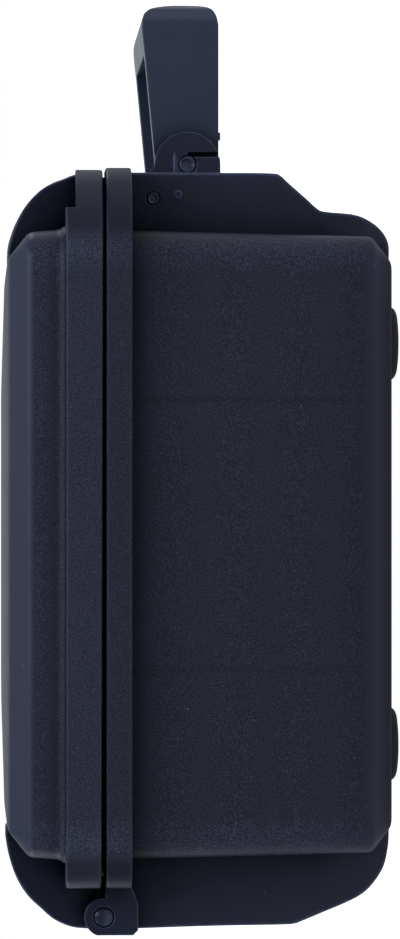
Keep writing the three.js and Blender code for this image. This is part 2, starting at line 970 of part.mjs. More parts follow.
// The lever: two cheeks on the pin, and the plate that is pulled to open.
function latchLever(side) {
  const range = sideRange(side, latchX - latchHalf, latchX + latchHalf);
  const frontY = leverPinY - leverFront;
  const backY = frontY + leverPlate;
  const plateTop = hookPinZ - leverTop;
  const plateLow = leverPinZ - hookPinDrop - leverLength;
  const plate = shapeOf([
    [frontY, plateLow + rimChamfer],
    [frontY + rimChamfer, plateLow],
    [frontY + leverLipDepth, plateLow],
    [frontY + leverLipDepth, plateLow + leverPlate / 2],
    [backY, plateLow + leverLip],
    [backY, plateTop],
    [frontY, plateTop],
  ]);
  const cheek = new THREE.Shape();
  cheek.moveTo(frontY, plateTop - cheekWidth);
  cheek.lineTo(backY, plateTop - cheekWidth);
  cheek.lineTo(hookPinY, hookPinZ - cheekRadius);
  cheek.absarc(hookPinY, hookPinZ, cheekRadius, -Math.PI / 2, 0, false);
  cheek.absarc(leverPinY, leverPinZ, cheekRadius, 0, Math.PI, false);
  cheek.lineTo(frontY, hookPinZ);
  const cheeks = [
    [range[0], range[0] + cheekWidth],
    [range[1] - cheekWidth, range[1]],
  ].map(([low, high]) => alongX(cheek, low, high));
  const holeRange = [range[0] - overrun, range[1] + overrun];
  return cut(
    join(alongX(plate, range[0], range[1]), ...cheeks),
    rodX(leverPinRadius + pinClearance, ...holeRange, leverPinY, leverPinZ),
    rodX(hookPinRadius + pinClearance, ...holeRange, hookPinY, hookPinZ),
  );
}

// The hook: a tongue from the hook pin, and a wide head whose claw sits on the lid's rim.
function latchHook(side) {
  const range = sideRange(side, latchX - latchHalf, latchX + latchHalf);
  const tongueRange = [
    range[0] + cheekWidth + sideClearance,
    range[1] - cheekWidth - sideClearance,
  ];
  const headFront = leverPinY - hookFront;
  const headBack = headFront + hookPlate;
  const tongueY = hookPinY - tongueFront;
  const headLow = leverPinZ + hookShoulder;
  const clawLow = lidRimTop + clawGap;
  const clawHigh = clawLow + clawThickness;
  const tongue = new THREE.Shape();
  tongue.moveTo(hookPinY - knuckleRadius, hookPinZ - knuckleRadius / 2);
  const turn = Math.PI * 2 * tongueTurnShare;
  tongue.absarc(hookPinY, hookPinZ, knuckleRadius, turn, Math.PI / 2, false);
  tongue.lineTo(tongueY + tongueThickness, hookPinZ + knuckleRadius);
  tongue.lineTo(tongueY + tongueThickness, headLow);
  tongue.lineTo(headBack, headLow + hookPlate);
  tongue.lineTo(headFront, headLow + hookPlate);
  tongue.lineTo(tongueY, headLow);
  tongue.lineTo(tongueY, hookPinZ - knuckleRadius / 2);
  const head = shapeOf([
    [headFront, headLow + rimChamfer],
    [headFront + rimChamfer, headLow],
    [headBack, headLow],
    [headBack, clawLow],
    [seatY + clawReach, clawLow],
    [seatY + clawReach, clawHigh - rimChamfer],
    [seatY + clawReach - rimChamfer, clawHigh],
    [headFront + hookPlate, clawHigh],
    [headFront, clawHigh - hookPlate],
  ]);
  const flange = shapeOf([
    [headBack - rimChamfer, headLow],
    [headBack + hookFlangeDepth / 4, headLow],
    [headBack + hookFlangeDepth, headLow + hookFlangeDepth],
    [headBack + hookFlangeDepth, clawLow + rimChamfer],
    [headBack - rimChamfer, clawLow + rimChamfer],
  ]);
  const flanges = [
    [range[0], range[0] + hookFlange],
    [range[1] - hookFlange, range[1]],
  ].map(([low, high]) => alongX(flange, low, high));
  return cut(
    join(alongX(tongue, ...tongueRange), alongX(head, ...range), ...flanges),
    rodX(hookPinRadius + pinClearance, range[0] - overrun, range[1] + overrun, hookPinY, hookPinZ),
  );
}

function leverPin(side) {
  const range = sideRange(side, wingInnerX - wingThickness, wingOuterX);
  return rodX(leverPinRadius, ...range, leverPinY, leverPinZ);
}

function hookPin(side) {
  const range = sideRange(side, latchX - latchHalf, latchX + latchHalf);
  return rodX(hookPinRadius, ...range, hookPinY, hookPinZ);
}

// A rod with a domed head at the end that shows.
function hingePin(side) {
  const near = innerLug(1)[0];
  const far = outerLugX - hingePinDome / 2;
  const dome = Array.from({ length: filletSteps + 1 }, (_, step) => {
    const angle = (Math.PI / 2) * (step / filletSteps);
    const radius = step < filletSteps ? hingePinRadius * Math.cos(angle) : 0;
    return new THREE.Vector2(radius, far + hingePinDome * Math.sin(angle));
  });
  const root = [new THREE.Vector2(0, near), new THREE.Vector2(hingePinRadius, near)];
  const rod = new THREE.LatheGeometry([...root, ...dome], roundSteps);
  rod.rotateZ((-side * Math.PI) / 2);
  rod.translate(0, hingeY, hingeZ);
  return solid(rod);
}

// A rubber foot, pressed in its socket, with a flat tread and a rounded flank.
function foot(side, end) {
  const seatTop = underside + footSeat - footClearance;
  const profile = [
    new THREE.Vector2(0, 0),
    new THREE.Vector2(footTread, 0),
    new THREE.Vector2(footShoulder, footShoulderRise),
    new THREE.Vector2(footRadius - footClearance, footFlankRise),
    new THREE.Vector2(footRadius, footHeight),
    new THREE.Vector2(footRadius, seatTop),
    new THREE.Vector2(0, seatTop),
  ];
  const turned = new THREE.LatheGeometry(profile, roundSteps);
  turned.rotateX(Math.PI / 2);
  turned.translate(side * footX, end * footY, 0);
  return solid(turned);
}

function ventGasket() {
  const back = ventSeatY - ventClearance;
  return cut(
    rodY(ventFlangeRadius, 0, back - ventGasketThickness, back, ventHeight()),
    rodY(
      ventStemRadius + ventStemClearance,
      0,
      back - ventGasketThickness - overrun,
      back + overrun,
      ventHeight(),
    ),
  );
}

function ventBody() {
  const flangeBack = ventSeatY - ventClearance * 2 - ventGasketThickness;
  const stemEnd = ventInnerSeatY + ventStemLength;
  return join(
    rodY(ventFlangeRadius, 0, flangeBack - ventFlangeThickness, flangeBack, ventHeight()),
    rodY(ventStemRadius, 0, flangeBack - ventFlangeThickness / 2, stemEnd, ventHeight()),
  );
}

function ventNut() {
  const front = ventInnerSeatY + ventClearance;
  const hex = new THREE.CylinderGeometry(ventNutRadius, ventNutRadius, ventNutThickness, 6);
  hex.translate(0, front + ventNutThickness / 2, ventHeight());
  const bore = rodY(
    ventStemRadius + ventClearance,
    0,
    front - overrun,
    front + ventNutThickness + overrun,
    ventHeight(),
  );
  return cut(solid(hex), bore);
}

function ventCap() {
  const back = ventSeatY - ventClearance * 3 - ventGasketThickness - ventFlangeThickness;
  const front = back - ventCapHeight;
  const profile = [
    new THREE.Vector2(0, front),
    new THREE.Vector2(ventCapRadius - ventCapRound, front),
    new THREE.Vector2(ventCapRadius - ventCapRound / 4, front + ventCapRound / 4),
    new THREE.Vector2(ventCapRadius, back),
    new THREE.Vector2(0, back),
  ];
  const cap = new THREE.LatheGeometry(profile, roundSteps);
  const slots = Array.from({ length: ventCapSlots }, (_, index) => {
    const slot = new THREE.BoxGeometry(ventCapSlotWidth, ventCapSlotDepth * 2, ventCapRadius);
    slot.translate(0, back, ventCapRadius);
    slot.rotateY(Math.PI * 2 * (index / ventCapSlots));
    return solid(slot);
  });
  return cut(solid(cap), ...slots).translate(0, 0, ventHeight());
}

const sideNames = { "-1": "left", 1: "right" };
const endNames = { "-1": "front", 1: "back" };

const transportCase = new THREE.Group();
transportCase.add(piece("base_shell", baseShell(), shellLook));
transportCase.add(piece("lid_shell", lidShell(), shellLook));
transportCase.add(piece("lid_seal", lidSeal(), rubberLook));
transportCase.add(piece("carry_handle", handle(), smoothLook));
transportCase.add(piece("vent_gasket", ventGasket(), rubberLook));
transportCase.add(piece("vent_body", ventBody(), smoothLook));
transportCase.add(piece("vent_nut", ventNut(), smoothLook));
transportCase.add(piece("vent_cap", ventCap(), smoothLook));
for (const side of [-1, 1]) {
  const name = sideNames[side];
  transportCase.add(piece(`latch_lever_${name}`, latchLever(side), smoothLook));
  transportCase.add(piece(`latch_hook_${name}`, latchHook(side), smoothLook));
  transportCase.add(piece(`lever_pin_${name}`, leverPin(side), pinLook));
  transportCase.add(piece(`hook_pin_${name}`, hookPin(side), pinLook));
  transportCase.add(piece(`hinge_pin_${name}`, hingePin(side), pinLook));
  for (const end of [-1, 1]) {
    transportCase.add(piece(`foot_${endNames[end]}_${name}`, foot(side, end), rubberLook));
  }
}
transportCase.position.y = -(handleTipY + hingeBackY) / 2;

export default transportCase;
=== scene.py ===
import math

import bmesh
import bpy
from mathutils import Matrix, Vector


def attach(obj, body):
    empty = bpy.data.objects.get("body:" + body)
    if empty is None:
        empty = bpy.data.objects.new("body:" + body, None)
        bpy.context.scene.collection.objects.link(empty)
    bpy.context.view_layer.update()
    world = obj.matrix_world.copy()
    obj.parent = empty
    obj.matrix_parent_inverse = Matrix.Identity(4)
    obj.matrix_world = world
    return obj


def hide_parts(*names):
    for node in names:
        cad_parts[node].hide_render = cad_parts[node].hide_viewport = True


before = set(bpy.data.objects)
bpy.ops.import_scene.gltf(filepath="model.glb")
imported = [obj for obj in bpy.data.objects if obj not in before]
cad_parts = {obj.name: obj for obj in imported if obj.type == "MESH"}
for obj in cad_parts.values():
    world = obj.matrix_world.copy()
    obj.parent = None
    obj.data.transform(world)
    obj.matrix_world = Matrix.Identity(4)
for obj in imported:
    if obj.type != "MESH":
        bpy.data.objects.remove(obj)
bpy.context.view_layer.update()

# The studio: a white floor and soft panels, four on the camera's side of the case and three that
# fill the sides away from it, in a room that is pale beyond the case. The camera looks along the
# length, low and far off, and is turned so that the handle is at the top of the picture.
FLOOR_REACH = 60.0
CAMERA_AT = (-2.64, 0.0062, 0.19415)
CAMERA_TURN = math.radians(2.28)
CAMERA_VIEW = math.radians(10.68)
SENSOR = 36.0
COOL_LIGHT = (0.83, 0.89, 1.0)
FLOOR_TONE, FLOOR_ROUGHNESS, FLOOR_SHEEN = (0.8, 0.8, 0.8, 1), 0.9, 0.1
FLOOR_GLOW_UNSEEN, FLOOR_GLOW_SEEN = 0.16, 1.0
WHITE = (1, 1, 1, 1)
ROOM_TONE, ROOM_BEHIND, ROOM_BEYOND, ROOM_FADE_END = (0.9, 0.95, 1.0, 1), 0.04, 0.55, 0.7

floor_mesh = bpy.data.meshes.new("floor")
floor_mesh.from_pydata(
    [(x * FLOOR_REACH, y * FLOOR_REACH, 0) for x, y in ((-1, -1), (1, -1), (1, 1), (-1, 1))],
    [],
    [(0, 1, 2, 3)],
)
floor = bpy.data.objects.new("floor", floor_mesh)
bpy.context.scene.collection.objects.link(floor)
floor_paint = bpy.data.materials.new("floor_paint")
floor_paint.use_nodes = True
floor_nodes, floor_link = floor_paint.node_tree.nodes, floor_paint.node_tree.links.new
floor_shader = floor_nodes["Principled BSDF"]
floor_shader.inputs["Base Color"].default_value = FLOOR_TONE
floor_shader.inputs["Roughness"].default_value = FLOOR_ROUGHNESS
floor_shader.inputs["Specular IOR Level"].default_value = FLOOR_SHEEN
floor_shader.inputs["Emission Color"].default_value = WHITE
floor_glow = floor_nodes.new("ShaderNodeMapRange")
floor_glow.inputs["To Min"].default_value = FLOOR_GLOW_UNSEEN
floor_glow.inputs["To Max"].default_value = FLOOR_GLOW_SEEN
floor_rays = floor_nodes.new("ShaderNodeLightPath")
floor_link(floor_rays.outputs["Is Camera Ray"], floor_glow.inputs["Value"])
floor_link(floor_glow.outputs["Result"], floor_shader.inputs["Emission Strength"])
floor_mesh.materials.append(floor_paint)

world = bpy.data.worlds.new("studio")
bpy.context.scene.world = world
world.use_nodes = True
room, room_link = world.node_tree.nodes, world.node_tree.links.new
room_light = room["Background"]
room_light.inputs["Color"].default_value = ROOM_TONE
room_way = room.new("ShaderNodeTexCoord")
room_split = room.new("ShaderNodeSeparateXYZ")
room_link(room_way.outputs["Generated"], room_split.inputs[0])
room_fade = room.new("ShaderNodeMapRange")
room_fade.inputs["From Min"].default_value = 0.0
room_fade.inputs["From Max"].default_value = ROOM_FADE_END
room_fade.inputs["To Min"].default_value = ROOM_BEHIND
room_fade.inputs["To Max"].default_value = ROOM_BEYOND
room_link(room_split.outputs["X"], room_fade.inputs["Value"])
room_link(room_fade.outputs["Result"], room_light.inputs["Strength"])
room_white = room.new("ShaderNodeBackground")
room_white.inputs["Color"].default_value = WHITE
room_white.inputs["Strength"].default_value = 1.0
room_rays = room.new("ShaderNodeLightPath")
room_mix = room.new("ShaderNodeMixShader")
room_link(room_rays.outputs["Is Camera Ray"], room_mix.inputs[0])
room_link(room_light.outputs[0], room_mix.inputs[1])
room_link(room_white.outputs[0], room_mix.inputs[2])
room_link(room_mix.outputs[0], room["World Output"].inputs["Surface"])

for lamp_name, lamp_at, lamp_aim, lamp_size, lamp_power in (
    ("overhead", (-0.9, -0.5, 2.2), (0, 0, 0.15), (1.4, 1.2), 20),
    ("overhead_back", (-0.8, 1.6, 1.8), (0, 0, 0.15), (1.0, 1.0), 12),
    ("near_end", (-2.2, -0.4, 1.7), (-0.2, 0, 0.1), (1.0, 1.0), 12),
    ("handle_side", (-1.0, -2.4, 0.4), (0, -0.1, 0.1), (1.8, 1.0), 7),
    ("front_fill", (1.3, -2.4, 1.0), (0, -0.1, 0.1), (1.4, 1.0), 16),
    ("back_fill", (1.0, 2.6, 0.9), (0, 0.1, 0.1), (1.4, 1.0), 16),
    ("far_fill", (1.8, 0, 2.4), (0, 0, 0.1), (1.4, 1.0), 6),
):
    lamp_data = bpy.data.lights.new(lamp_name, "AREA")
    lamp_data.shape = "RECTANGLE"
    lamp_data.size, lamp_data.size_y = lamp_size
    lamp_data.energy = lamp_power
    lamp_data.color = COOL_LIGHT
    lamp = bpy.data.objects.new(lamp_name, lamp_data)
    lamp.location = lamp_at
    lamp.rotation_euler = (Vector(lamp_aim) - Vector(lamp_at)).to_track_quat("-Z", "Y").to_euler()
    bpy.context.scene.collection.objects.link(lamp)

camera_data = bpy.data.cameras.new("camera")
camera_data.sensor_width = SENSOR
camera_data.lens = SENSOR / 2 / math.tan(CAMERA_VIEW / 2)
camera = bpy.data.objects.new("camera", camera_data)
look = Vector((math.cos(CAMERA_TURN), 0, -math.sin(CAMERA_TURN)))
picture_up = Vector((0, -1, 0))
picture_right = look.cross(picture_up)
camera.matrix_world = Matrix.Translation(CAMERA_AT) @ Matrix(
    (picture_right, picture_up, -look)
).transposed().to_4x4()
bpy.context.scene.collection.objects.link(camera)
bpy.context.scene.camera = camera
bpy.context.scene.view_settings.view_transform = "Standard"

# The base tub: a deep box moulded in one shot, with drafted walls, a bevelled underside and round
# corners. Sizes are millimetres from the middle of the body, and every mesh is set in the frame
# by to_frame.
MILLIMETRE = 0.001
BODY_SHIFT = 42.5
TUB_HALF = 230
TUB_FRONT, TUB_BACK = -152, 152
TUB_CORNER = 15
LEAST_CORNER = 2
CORNER_STEPS = 14
FILLET_STEPS = 5
SAME_PLACE = 0.001
CREASE = 35
UNDERSIDE = 4.5
BASE_TOP = 143.4
WALL = 4.5
DRAFT = 3
BEVEL_RUN, BEVEL_HEIGHT = 13, 10.3
EDGE_ROUND = 2.6
HIDDEN = 0.3
BAND_PLACES = (-68, 61.8)
BAND_DEPTH = 1.0
BAND_ROOM = 80
BAND_SECTION = ((-4.5, 0), (-3.2, 0.12), (-1.6, 0.7), (0, 1), (1.6, 0.7), (3.2, 0.12), (4.5, 0))
EDGE_BLUR = 0.001
# Painted shade: how far the ambient occlusion that darkens colour and sheen reaches, and the
# heights over which it fades out near the floor.
PAINTED_SHADE_REACH = 0.035
UNSHADED_BELOW = (0.012, 0.04)
GRAIN_ENDS, GRAIN_HEIGHTS = (0.1525, 0.1435), ((0.0165, 0.02), (0.181, 0.1775))
# Painted highlight: the grain's peaks are painted paler still in the band near the front and back
# corners of the end walls.
CORNER_GLINT_BAND = (0.131, 0.141, 1, 2.6)
SCUFF_X, SCUFF_Y = (0.237, 0.2385), ((0.172, 0.182), (0.193, 0.188))
COOL_SHEEN = (0.88, 0.89, 1.0, 1)
# Painted glints: the cut of the grain's peaks and how much paler they are painted.
PEAKS, GLINT_PALER, GLINT_LIFT = (0.47, 0.66), 3.6, 0.012
# Painted highlight and wear: the edges are painted paler in patches.
EDGE_LIGHT_WEAR_BEND, EDGE_LIGHT_WEAR_PATCHES, EDGE_LIGHT_WEAR_LIFT = (0.995, 0.92), (160, 0.35, 0.6, 0.3), 0.01
SPECK_SCALE, SPECK_SIZE, DUST = 55, (0.022, 0.016), [0.2, 0.21, 0.23, 1]
MOTTLE_SCALE, MOTTLE_ENDS, MOTTLE_LOW, MOTTLE_HIGH = 9, (0.3, 0.7), 0.85, 1.15
# Painted light: the bevels above and below the grained walls are painted paler.
BEVEL_PAINTED_LIGHT = 2.4
SCUFF_GRAIN, SCUFF_CUT, SCUFF_MOST, SCUFF = 750, (0.56, 0.68), 0.6, [0.16, 0.165, 0.18, 1]
SCUFF_PATCHES, SCUFF_PATCH_CUT = 60, (0.42, 0.56)
ROUGH_SCALE, ROUGH_SPREAD = 45, 0.08

BODY_PLAN = (TUB_HALF, TUB_FRONT, TUB_BACK, TUB_CORNER, TUB_CORNER)


def to_frame(x, y, z):
    return Vector((x, y + BODY_SHIFT, z)) * MILLIMETRE


def loop_round(plan, inset, z, band=0.0):
    """Points once round a rectangle with round corners, anticlockwise from above.

    A band is how far the shallow channels down the two end walls are sunk at this height. A loop
    with too little room for the channels' points draws them in, so that it never folds."""
    half, front, back, front_radius, back_radius = plan
    widest = max(front_radius - inset, back_radius - inset, LEAST_CORNER)
    straight = min(-front, back) - inset - widest
    drawn_in = min(1, straight / BAND_ROOM)
    points = []
    for side, edge, full_radius, start in (
        (1, front + inset, front_radius, -90),
        (1, back - inset, back_radius, 0),
        (-1, back - inset, back_radius, 90),
        (-1, front + inset, front_radius, 180),
    ):
        radius = max(full_radius - inset, LEAST_CORNER)
        middle_x = side * (half - inset - radius)
        middle_y = edge + (radius if edge < 0 else -radius)
        for step in range(CORNER_STEPS + 1):
            angle = math.radians(start + 90 * step / CORNER_STEPS)
            points.append(
                (middle_x + radius * math.cos(angle), middle_y + radius * math.sin(angle), z)
            )
        if (side, edge > 0) in ((1, False), (-1, True)):
            channel = [
                (side * (half - inset - share * band), (place + offset) * drawn_in, z)
                for place in BAND_PLACES
                for offset, share in BAND_SECTION
            ]
            points += channel if side > 0 else channel[::-1]
    return points


def eased(points, run):
    """The same open line with its corners rounded by a run along each side."""
    line = [Vector(points[0])]
    for before, corner, after in zip(points, points[1:], points[2:]):
        before, corner, after = Vector(before), Vector(corner), Vector(after)
        start = corner + (before - corner).normalized() * min(run, (before - corner).length / 2)
        end = corner + (after - corner).normalized() * min(run, (after - corner).length / 2)
        for step in range(FILLET_STEPS + 1):
            t = step / FILLET_STEPS
            point = start * (1 - t) ** 2 + corner * 2 * t * (1 - t) + end * t * t
            if (point - line[-1]).length > SAME_PLACE:
                line.append(point)
    return line + [Vector(points[-1])]


def mesh_of(points, faces):
    made = bmesh.new()
    corners = [made.verts.new(to_frame(*point)) for point in points]
    for face in faces:
        made.faces.new([corners[i] for i in face])
    return made


def lofted(loops, closed=False):
    """A skin through loops of points. A closed one joins the last loop to the first."""
    count = len(loops[0])
    points = [point for loop in loops for point in loop]
    faces = []
    pairs = list(zip(range(len(loops)), range(1, len(loops))))
    if closed:
        pairs.append((len(loops) - 1, 0))
    else:
        faces.append(list(range(count))[::-1])
        faces.append([(len(loops) - 1) * count + i for i in range(count)])
    for low, high in pairs:
        for i in range(count):
            j = (i + 1) % count
            faces.append((low * count + i, low * count + j, high * count + j, high * count + i))
    return mesh_of(points, faces)


def moulded(name, colour, sheen, roughness, grain, edge_light_and_wear, painted_shade, painted_glint=0.0, bounded=False):
    """A moulded plastic with a grain of a size and depth, a faint mottle, specks and paler edges.

    The edge light and wear is how much paler the edges are painted, partly as wear and partly as a
    painted highlight. The painted shade is how strongly shade is painted into the colour and sheen
    of recesses, overhangs and joins. A painted glint is how much paler the grain's peaks are
    painted, standing in for the light they catch. A bounded grain stops short of the corners, with
    painted light on the bevels beyond it and painted highlights near the corners."""
    finish = bpy.data.materials.new(name)
    finish.use_nodes = True
    nodes, link = finish.node_tree.nodes, finish.node_tree.links.new
    shader = nodes["Principled BSDF"]
    shader.inputs["Specular Tint"].default_value = COOL_SHEEN
    where = nodes.new("ShaderNodeTexCoord")
    place = nodes.new("ShaderNodeSeparateXYZ")
    link(where.outputs["Object"], place.inputs[0])

    def noise(scale, detail, rough=0.55):
        node = nodes.new("ShaderNodeTexNoise")
        node.inputs["Scale"].default_value = scale
        node.inputs["Detail"].default_value = detail
        node.inputs["Roughness"].default_value = rough
        link(where.outputs["Object"], node.inputs["Vector"])
        return node.outputs["Fac"]

    def fade(value, start, end, low=0.0, high=1.0):
        node = nodes.new("ShaderNodeMapRange")
        node.inputs["From Min"].default_value = start
        node.inputs["From Max"].default_value = end
        node.inputs["To Min"].default_value = low
        node.inputs["To Max"].default_value = high
        link(value, node.inputs["Value"])
        return node.outputs["Result"]

    def sum_of(operation, *values):
        node = nodes.new("ShaderNodeMath")
        node.operation = operation
        for socket, value in zip(node.inputs, values):
            if isinstance(value, (int, float)):
                socket.default_value = value
            else:
                link(value, socket)
        return node.outputs[0]

    def blend(factor, low, high, way="MIX"):
        node = nodes.new("ShaderNodeMix")
        node.data_type = "RGBA"
        node.blend_type = way
        for socket, value in (("Factor", factor), ("A", low), ("B", high)):
            if isinstance(value, (int, float, list)):
                node.inputs[socket].default_value = value
            else:
                link(value, node.inputs[socket])
        return node.outputs["Result"]

    fine = noise(1 / grain[0], 3, 0.65)
    soft = nodes.new("ShaderNodeBevel")
    soft.samples = 4
    soft.inputs["Radius"].default_value = EDGE_BLUR
    bump = nodes.new("ShaderNodeBump")
    bump.inputs["Distance"].default_value = grain[1]
    link(fine, bump.inputs["Height"])
    link(soft.outputs["Normal"], bump.inputs["Normal"])
    link(bump.outputs["Normal"], shader.inputs["Normal"])
    # Painted glints: the grain's peaks are painted paler where they would catch the light.
    glints = fade(fine, *PEAKS, 0, painted_glint)
    if bounded:
        from_middle = sum_of("SUBTRACT", place.outputs["Y"], BODY_SHIFT * MILLIMETRE)
        middle = sum_of("ABSOLUTE", from_middle)
        walls = sum_of("MULTIPLY", *(fade(place.outputs["Z"], *ends) for ends in GRAIN_HEIGHTS))
        zone = sum_of("MULTIPLY", walls, fade(middle, *GRAIN_ENDS))
        link(zone, bump.inputs["Strength"])
        # Painted highlight: the peaks are painted paler still near the front and back corners.
        glints = sum_of("MULTIPLY", glints, sum_of("MULTIPLY", zone, fade(middle, *CORNER_GLINT_BAND)))

    face = nodes.new("ShaderNodeNewGeometry")
    turn = nodes.new("ShaderNodeVectorMath")
    turn.operation = "DOT_PRODUCT"
    link(soft.outputs["Normal"], turn.inputs[0])
    link(face.outputs["True Normal"], turn.inputs[1])
    # Painted highlight and wear: edges, where the softened normal turns from the true one, are
    # painted paler in patches.
    edge = fade(turn.outputs["Value"], *EDGE_LIGHT_WEAR_BEND)
    edge_light_and_wear_mask = sum_of("MULTIPLY", edge, fade(noise(EDGE_LIGHT_WEAR_PATCHES[0], 3), *EDGE_LIGHT_WEAR_PATCHES[1:], 1))
    specks = nodes.new("ShaderNodeTexVoronoi")
    specks.inputs["Scale"].default_value = SPECK_SCALE
    link(where.outputs["Object"], specks.inputs["Vector"])
    dust = fade(specks.outputs["Distance"], *SPECK_SIZE)

    def paler(times, lift=0.0):
        return [c * times + lift for c in colour] + [1]

    mottle = fade(noise(MOTTLE_SCALE, 4), *MOTTLE_ENDS)
    plain = blend(mottle, paler(MOTTLE_LOW), paler(MOTTLE_HIGH))
    if bounded:
        # Painted light: the bevels outside the grained walls are painted paler.
        plain = blend(walls, paler(BEVEL_PAINTED_LIGHT), plain)
    plain = blend(glints, plain, paler(GLINT_PALER, GLINT_LIFT))
    plain = blend(edge_light_and_wear_mask, plain, paler(edge_light_and_wear, EDGE_LIGHT_WEAR_LIFT))
    plain = blend(dust, plain, DUST)
    if bounded:
        scuffs = fade(noise(SCUFF_GRAIN, 2), *SCUFF_CUT, 0, SCUFF_MOST)
        scuffs = sum_of("MULTIPLY", scuffs, fade(noise(SCUFF_PATCHES, 2), *SCUFF_PATCH_CUT))
        scuffs = sum_of("MULTIPLY", scuffs, fade(sum_of("ABSOLUTE", place.outputs["X"]), *SCUFF_X))
        for ends in SCUFF_Y:
            scuffs = sum_of("MULTIPLY", scuffs, fade(place.outputs["Y"], *ends))
        plain = blend(scuffs, plain, SCUFF)

    # Painted shade: ambient occlusion darkens the colour and the sheen in recesses, under overhangs
    # and between parts, and fades out near the floor.
    open_air = nodes.new("ShaderNodeAmbientOcclusion")
    open_air.samples = 6
    open_air.inputs["Distance"].default_value = PAINTED_SHADE_REACH
    occlusion_power = sum_of("POWER", open_air.outputs["AO"], painted_shade)
    raised = fade(place.outputs["Z"], *UNSHADED_BELOW)
    painted_shade_factor = sum_of("SUBTRACT", 1, sum_of("MULTIPLY", raised, sum_of("SUBTRACT", 1, occlusion_power)))
    link(blend(1.0, plain, painted_shade_factor, "MULTIPLY"), shader.inputs["Base Color"])
    link(sum_of("MULTIPLY", painted_shade_factor, sheen), shader.inputs["Specular IOR Level"])
    worn = fade(noise(ROUGH_SCALE, 4), 0, 1, roughness - ROUGH_SPREAD, roughness + ROUGH_SPREAD)
    link(worn, shader.inputs["Roughness"])
    return finish


def piece(name, made, finish, body, slot, *nodes):
    """Turns a bmesh into a shown piece that rides on a body and stands for CAD nodes."""
    bmesh.ops.dissolve_degenerate(made, dist=SAME_PLACE * MILLIMETRE, edges=made.edges)
    bmesh.ops.recalc_face_normals(made, faces=made.faces)
    mesh = bpy.data.meshes.new(name)
    made.to_mesh(mesh)
    made.free()
    mesh.materials.append(finish)
    mesh.shade_smooth()
    mesh.set_sharp_from_angle(angle=math.radians(CREASE))
    shown = bpy.data.objects.new(name, mesh)
    bpy.context.scene.collection.objects.link(shown)
    evened = shown.modifiers.new("evened", "WEIGHTED_NORMAL")
    evened.keep_sharp = True
    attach(shown, body)
    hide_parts(*nodes)
    return shown


grained = moulded(
    "grained_plastic", (0.0074, 0.0088, 0.0168), 0.32, 0.45, (0.0007, 0.0002), 4, 1.7, 0.95, True
)
RIM_LOW = 130.8
band_start = UNDERSIDE + BEVEL_HEIGHT + 2 * EDGE_ROUND
tub_outside = eased(
    [
        (DRAFT + BEVEL_RUN + 3 * EDGE_ROUND, UNDERSIDE),
        (DRAFT + BEVEL_RUN, UNDERSIDE),
        (DRAFT, UNDERSIDE + BEVEL_HEIGHT),
        (0, BASE_TOP - HIDDEN),
    ],
    EDGE_ROUND,
)[:-1]
wall_height = BASE_TOP - UNDERSIDE - BEVEL_HEIGHT
for band_z in (band_start, band_start + 3 * EDGE_ROUND, RIM_LOW, BASE_TOP - HIDDEN):
    tub_outside.append(Vector((DRAFT * (BASE_TOP - band_z) / wall_height, band_z)))
tub_inside = eased(
    [
        (WALL, BASE_TOP - HIDDEN),
        (DRAFT + WALL, UNDERSIDE + BEVEL_HEIGHT + WALL / 2),
        (DRAFT + BEVEL_RUN + WALL / 2, UNDERSIDE + WALL),
        (DRAFT + BEVEL_RUN + 4 * WALL, UNDERSIDE + WALL),
    ],
    2 * EDGE_ROUND,
)
tub_loops = [
    loop_round(BODY_PLAN, inset, z, BAND_DEPTH if band_start < z < BASE_TOP - 1 else 0)
    for inset, z in tub_outside
] + [loop_round(BODY_PLAN, inset, z) for inset, z in tub_inside]
piece("base_tub", lofted(tub_loops), grained, "base", "shell_plastic", "base_shell")

# The base rim: a proud frame round the mouth of the tub, part of the same moulding. Its wide front
# flange is cored from below between ribs and cut back where the latches pass, and a ridge on top
# presses the seal.
RIM_PLAN = (240, -182.4, 164.9, 32, 14)
RIM_ROUND = 1.5
SEAT_Y = -164
LATCH_X, BAY_HALF = 160, 30
POCKETS, POCKET_PITCH, POCKET_LENGTH = 8, 25, 21
POCKET_FRONT, POCKET_BACK, FLANGE_PLATE = -178.4, -159, 5
PADLOCK_X, PADLOCK_Y, PADLOCK_RADIUS = 214, -166.4, 4
RIDGE_OUT, RIDGE_IN, RIDGE_TOP = -2.0, 1.0, 147.0
ROUND_STEPS = 48
OVERRUN = 1
RIM_LAP, RIDGE_TAPER, RIDGE_ROUND = 4, 0.2, 0.5
SAME_PLANE = 0.002


def softened(made, width, steps=3, angle=30):
    """Rounds every edge that is sharper than the angle, as a mould tool does."""
    bmesh.ops.recalc_face_normals(made, faces=made.faces)
    edges = [e for e in made.edges if e.calc_face_angle(0) > math.radians(angle)]
    bmesh.ops.bevel(
        made,
        geom=edges,
        offset=width * MILLIMETRE,
        offset_type="OFFSET",
        segments=steps,
        profile=0.5,
        affect="EDGES",
        clamp_overlap=True,
    )
    return made


def level(outline, z_low, z_high):
    """A plate cut to an outline drawn in X and Y."""
    return lofted([[(x, y, z) for x, y in outline] for z in (z_low, z_high)])


def block(x, y, z, corner=0, axis=2):
    """A block between two corners, with the edges that run along one axis rounded if asked."""
    made = level(((x[0], y[0]), (x[1], y[0]), (x[1], y[1]), (x[0], y[1])), *z)
    if corner:
        least = SAME_PLACE * MILLIMETRE
        along = [e for e in made.edges if abs(e.verts[0].co[axis] - e.verts[1].co[axis]) > least]
        bmesh.ops.bevel(
            made, geom=along, offset=corner * MILLIMETRE, segments=4, profile=0.5, affect="EDGES"
        )
    return made


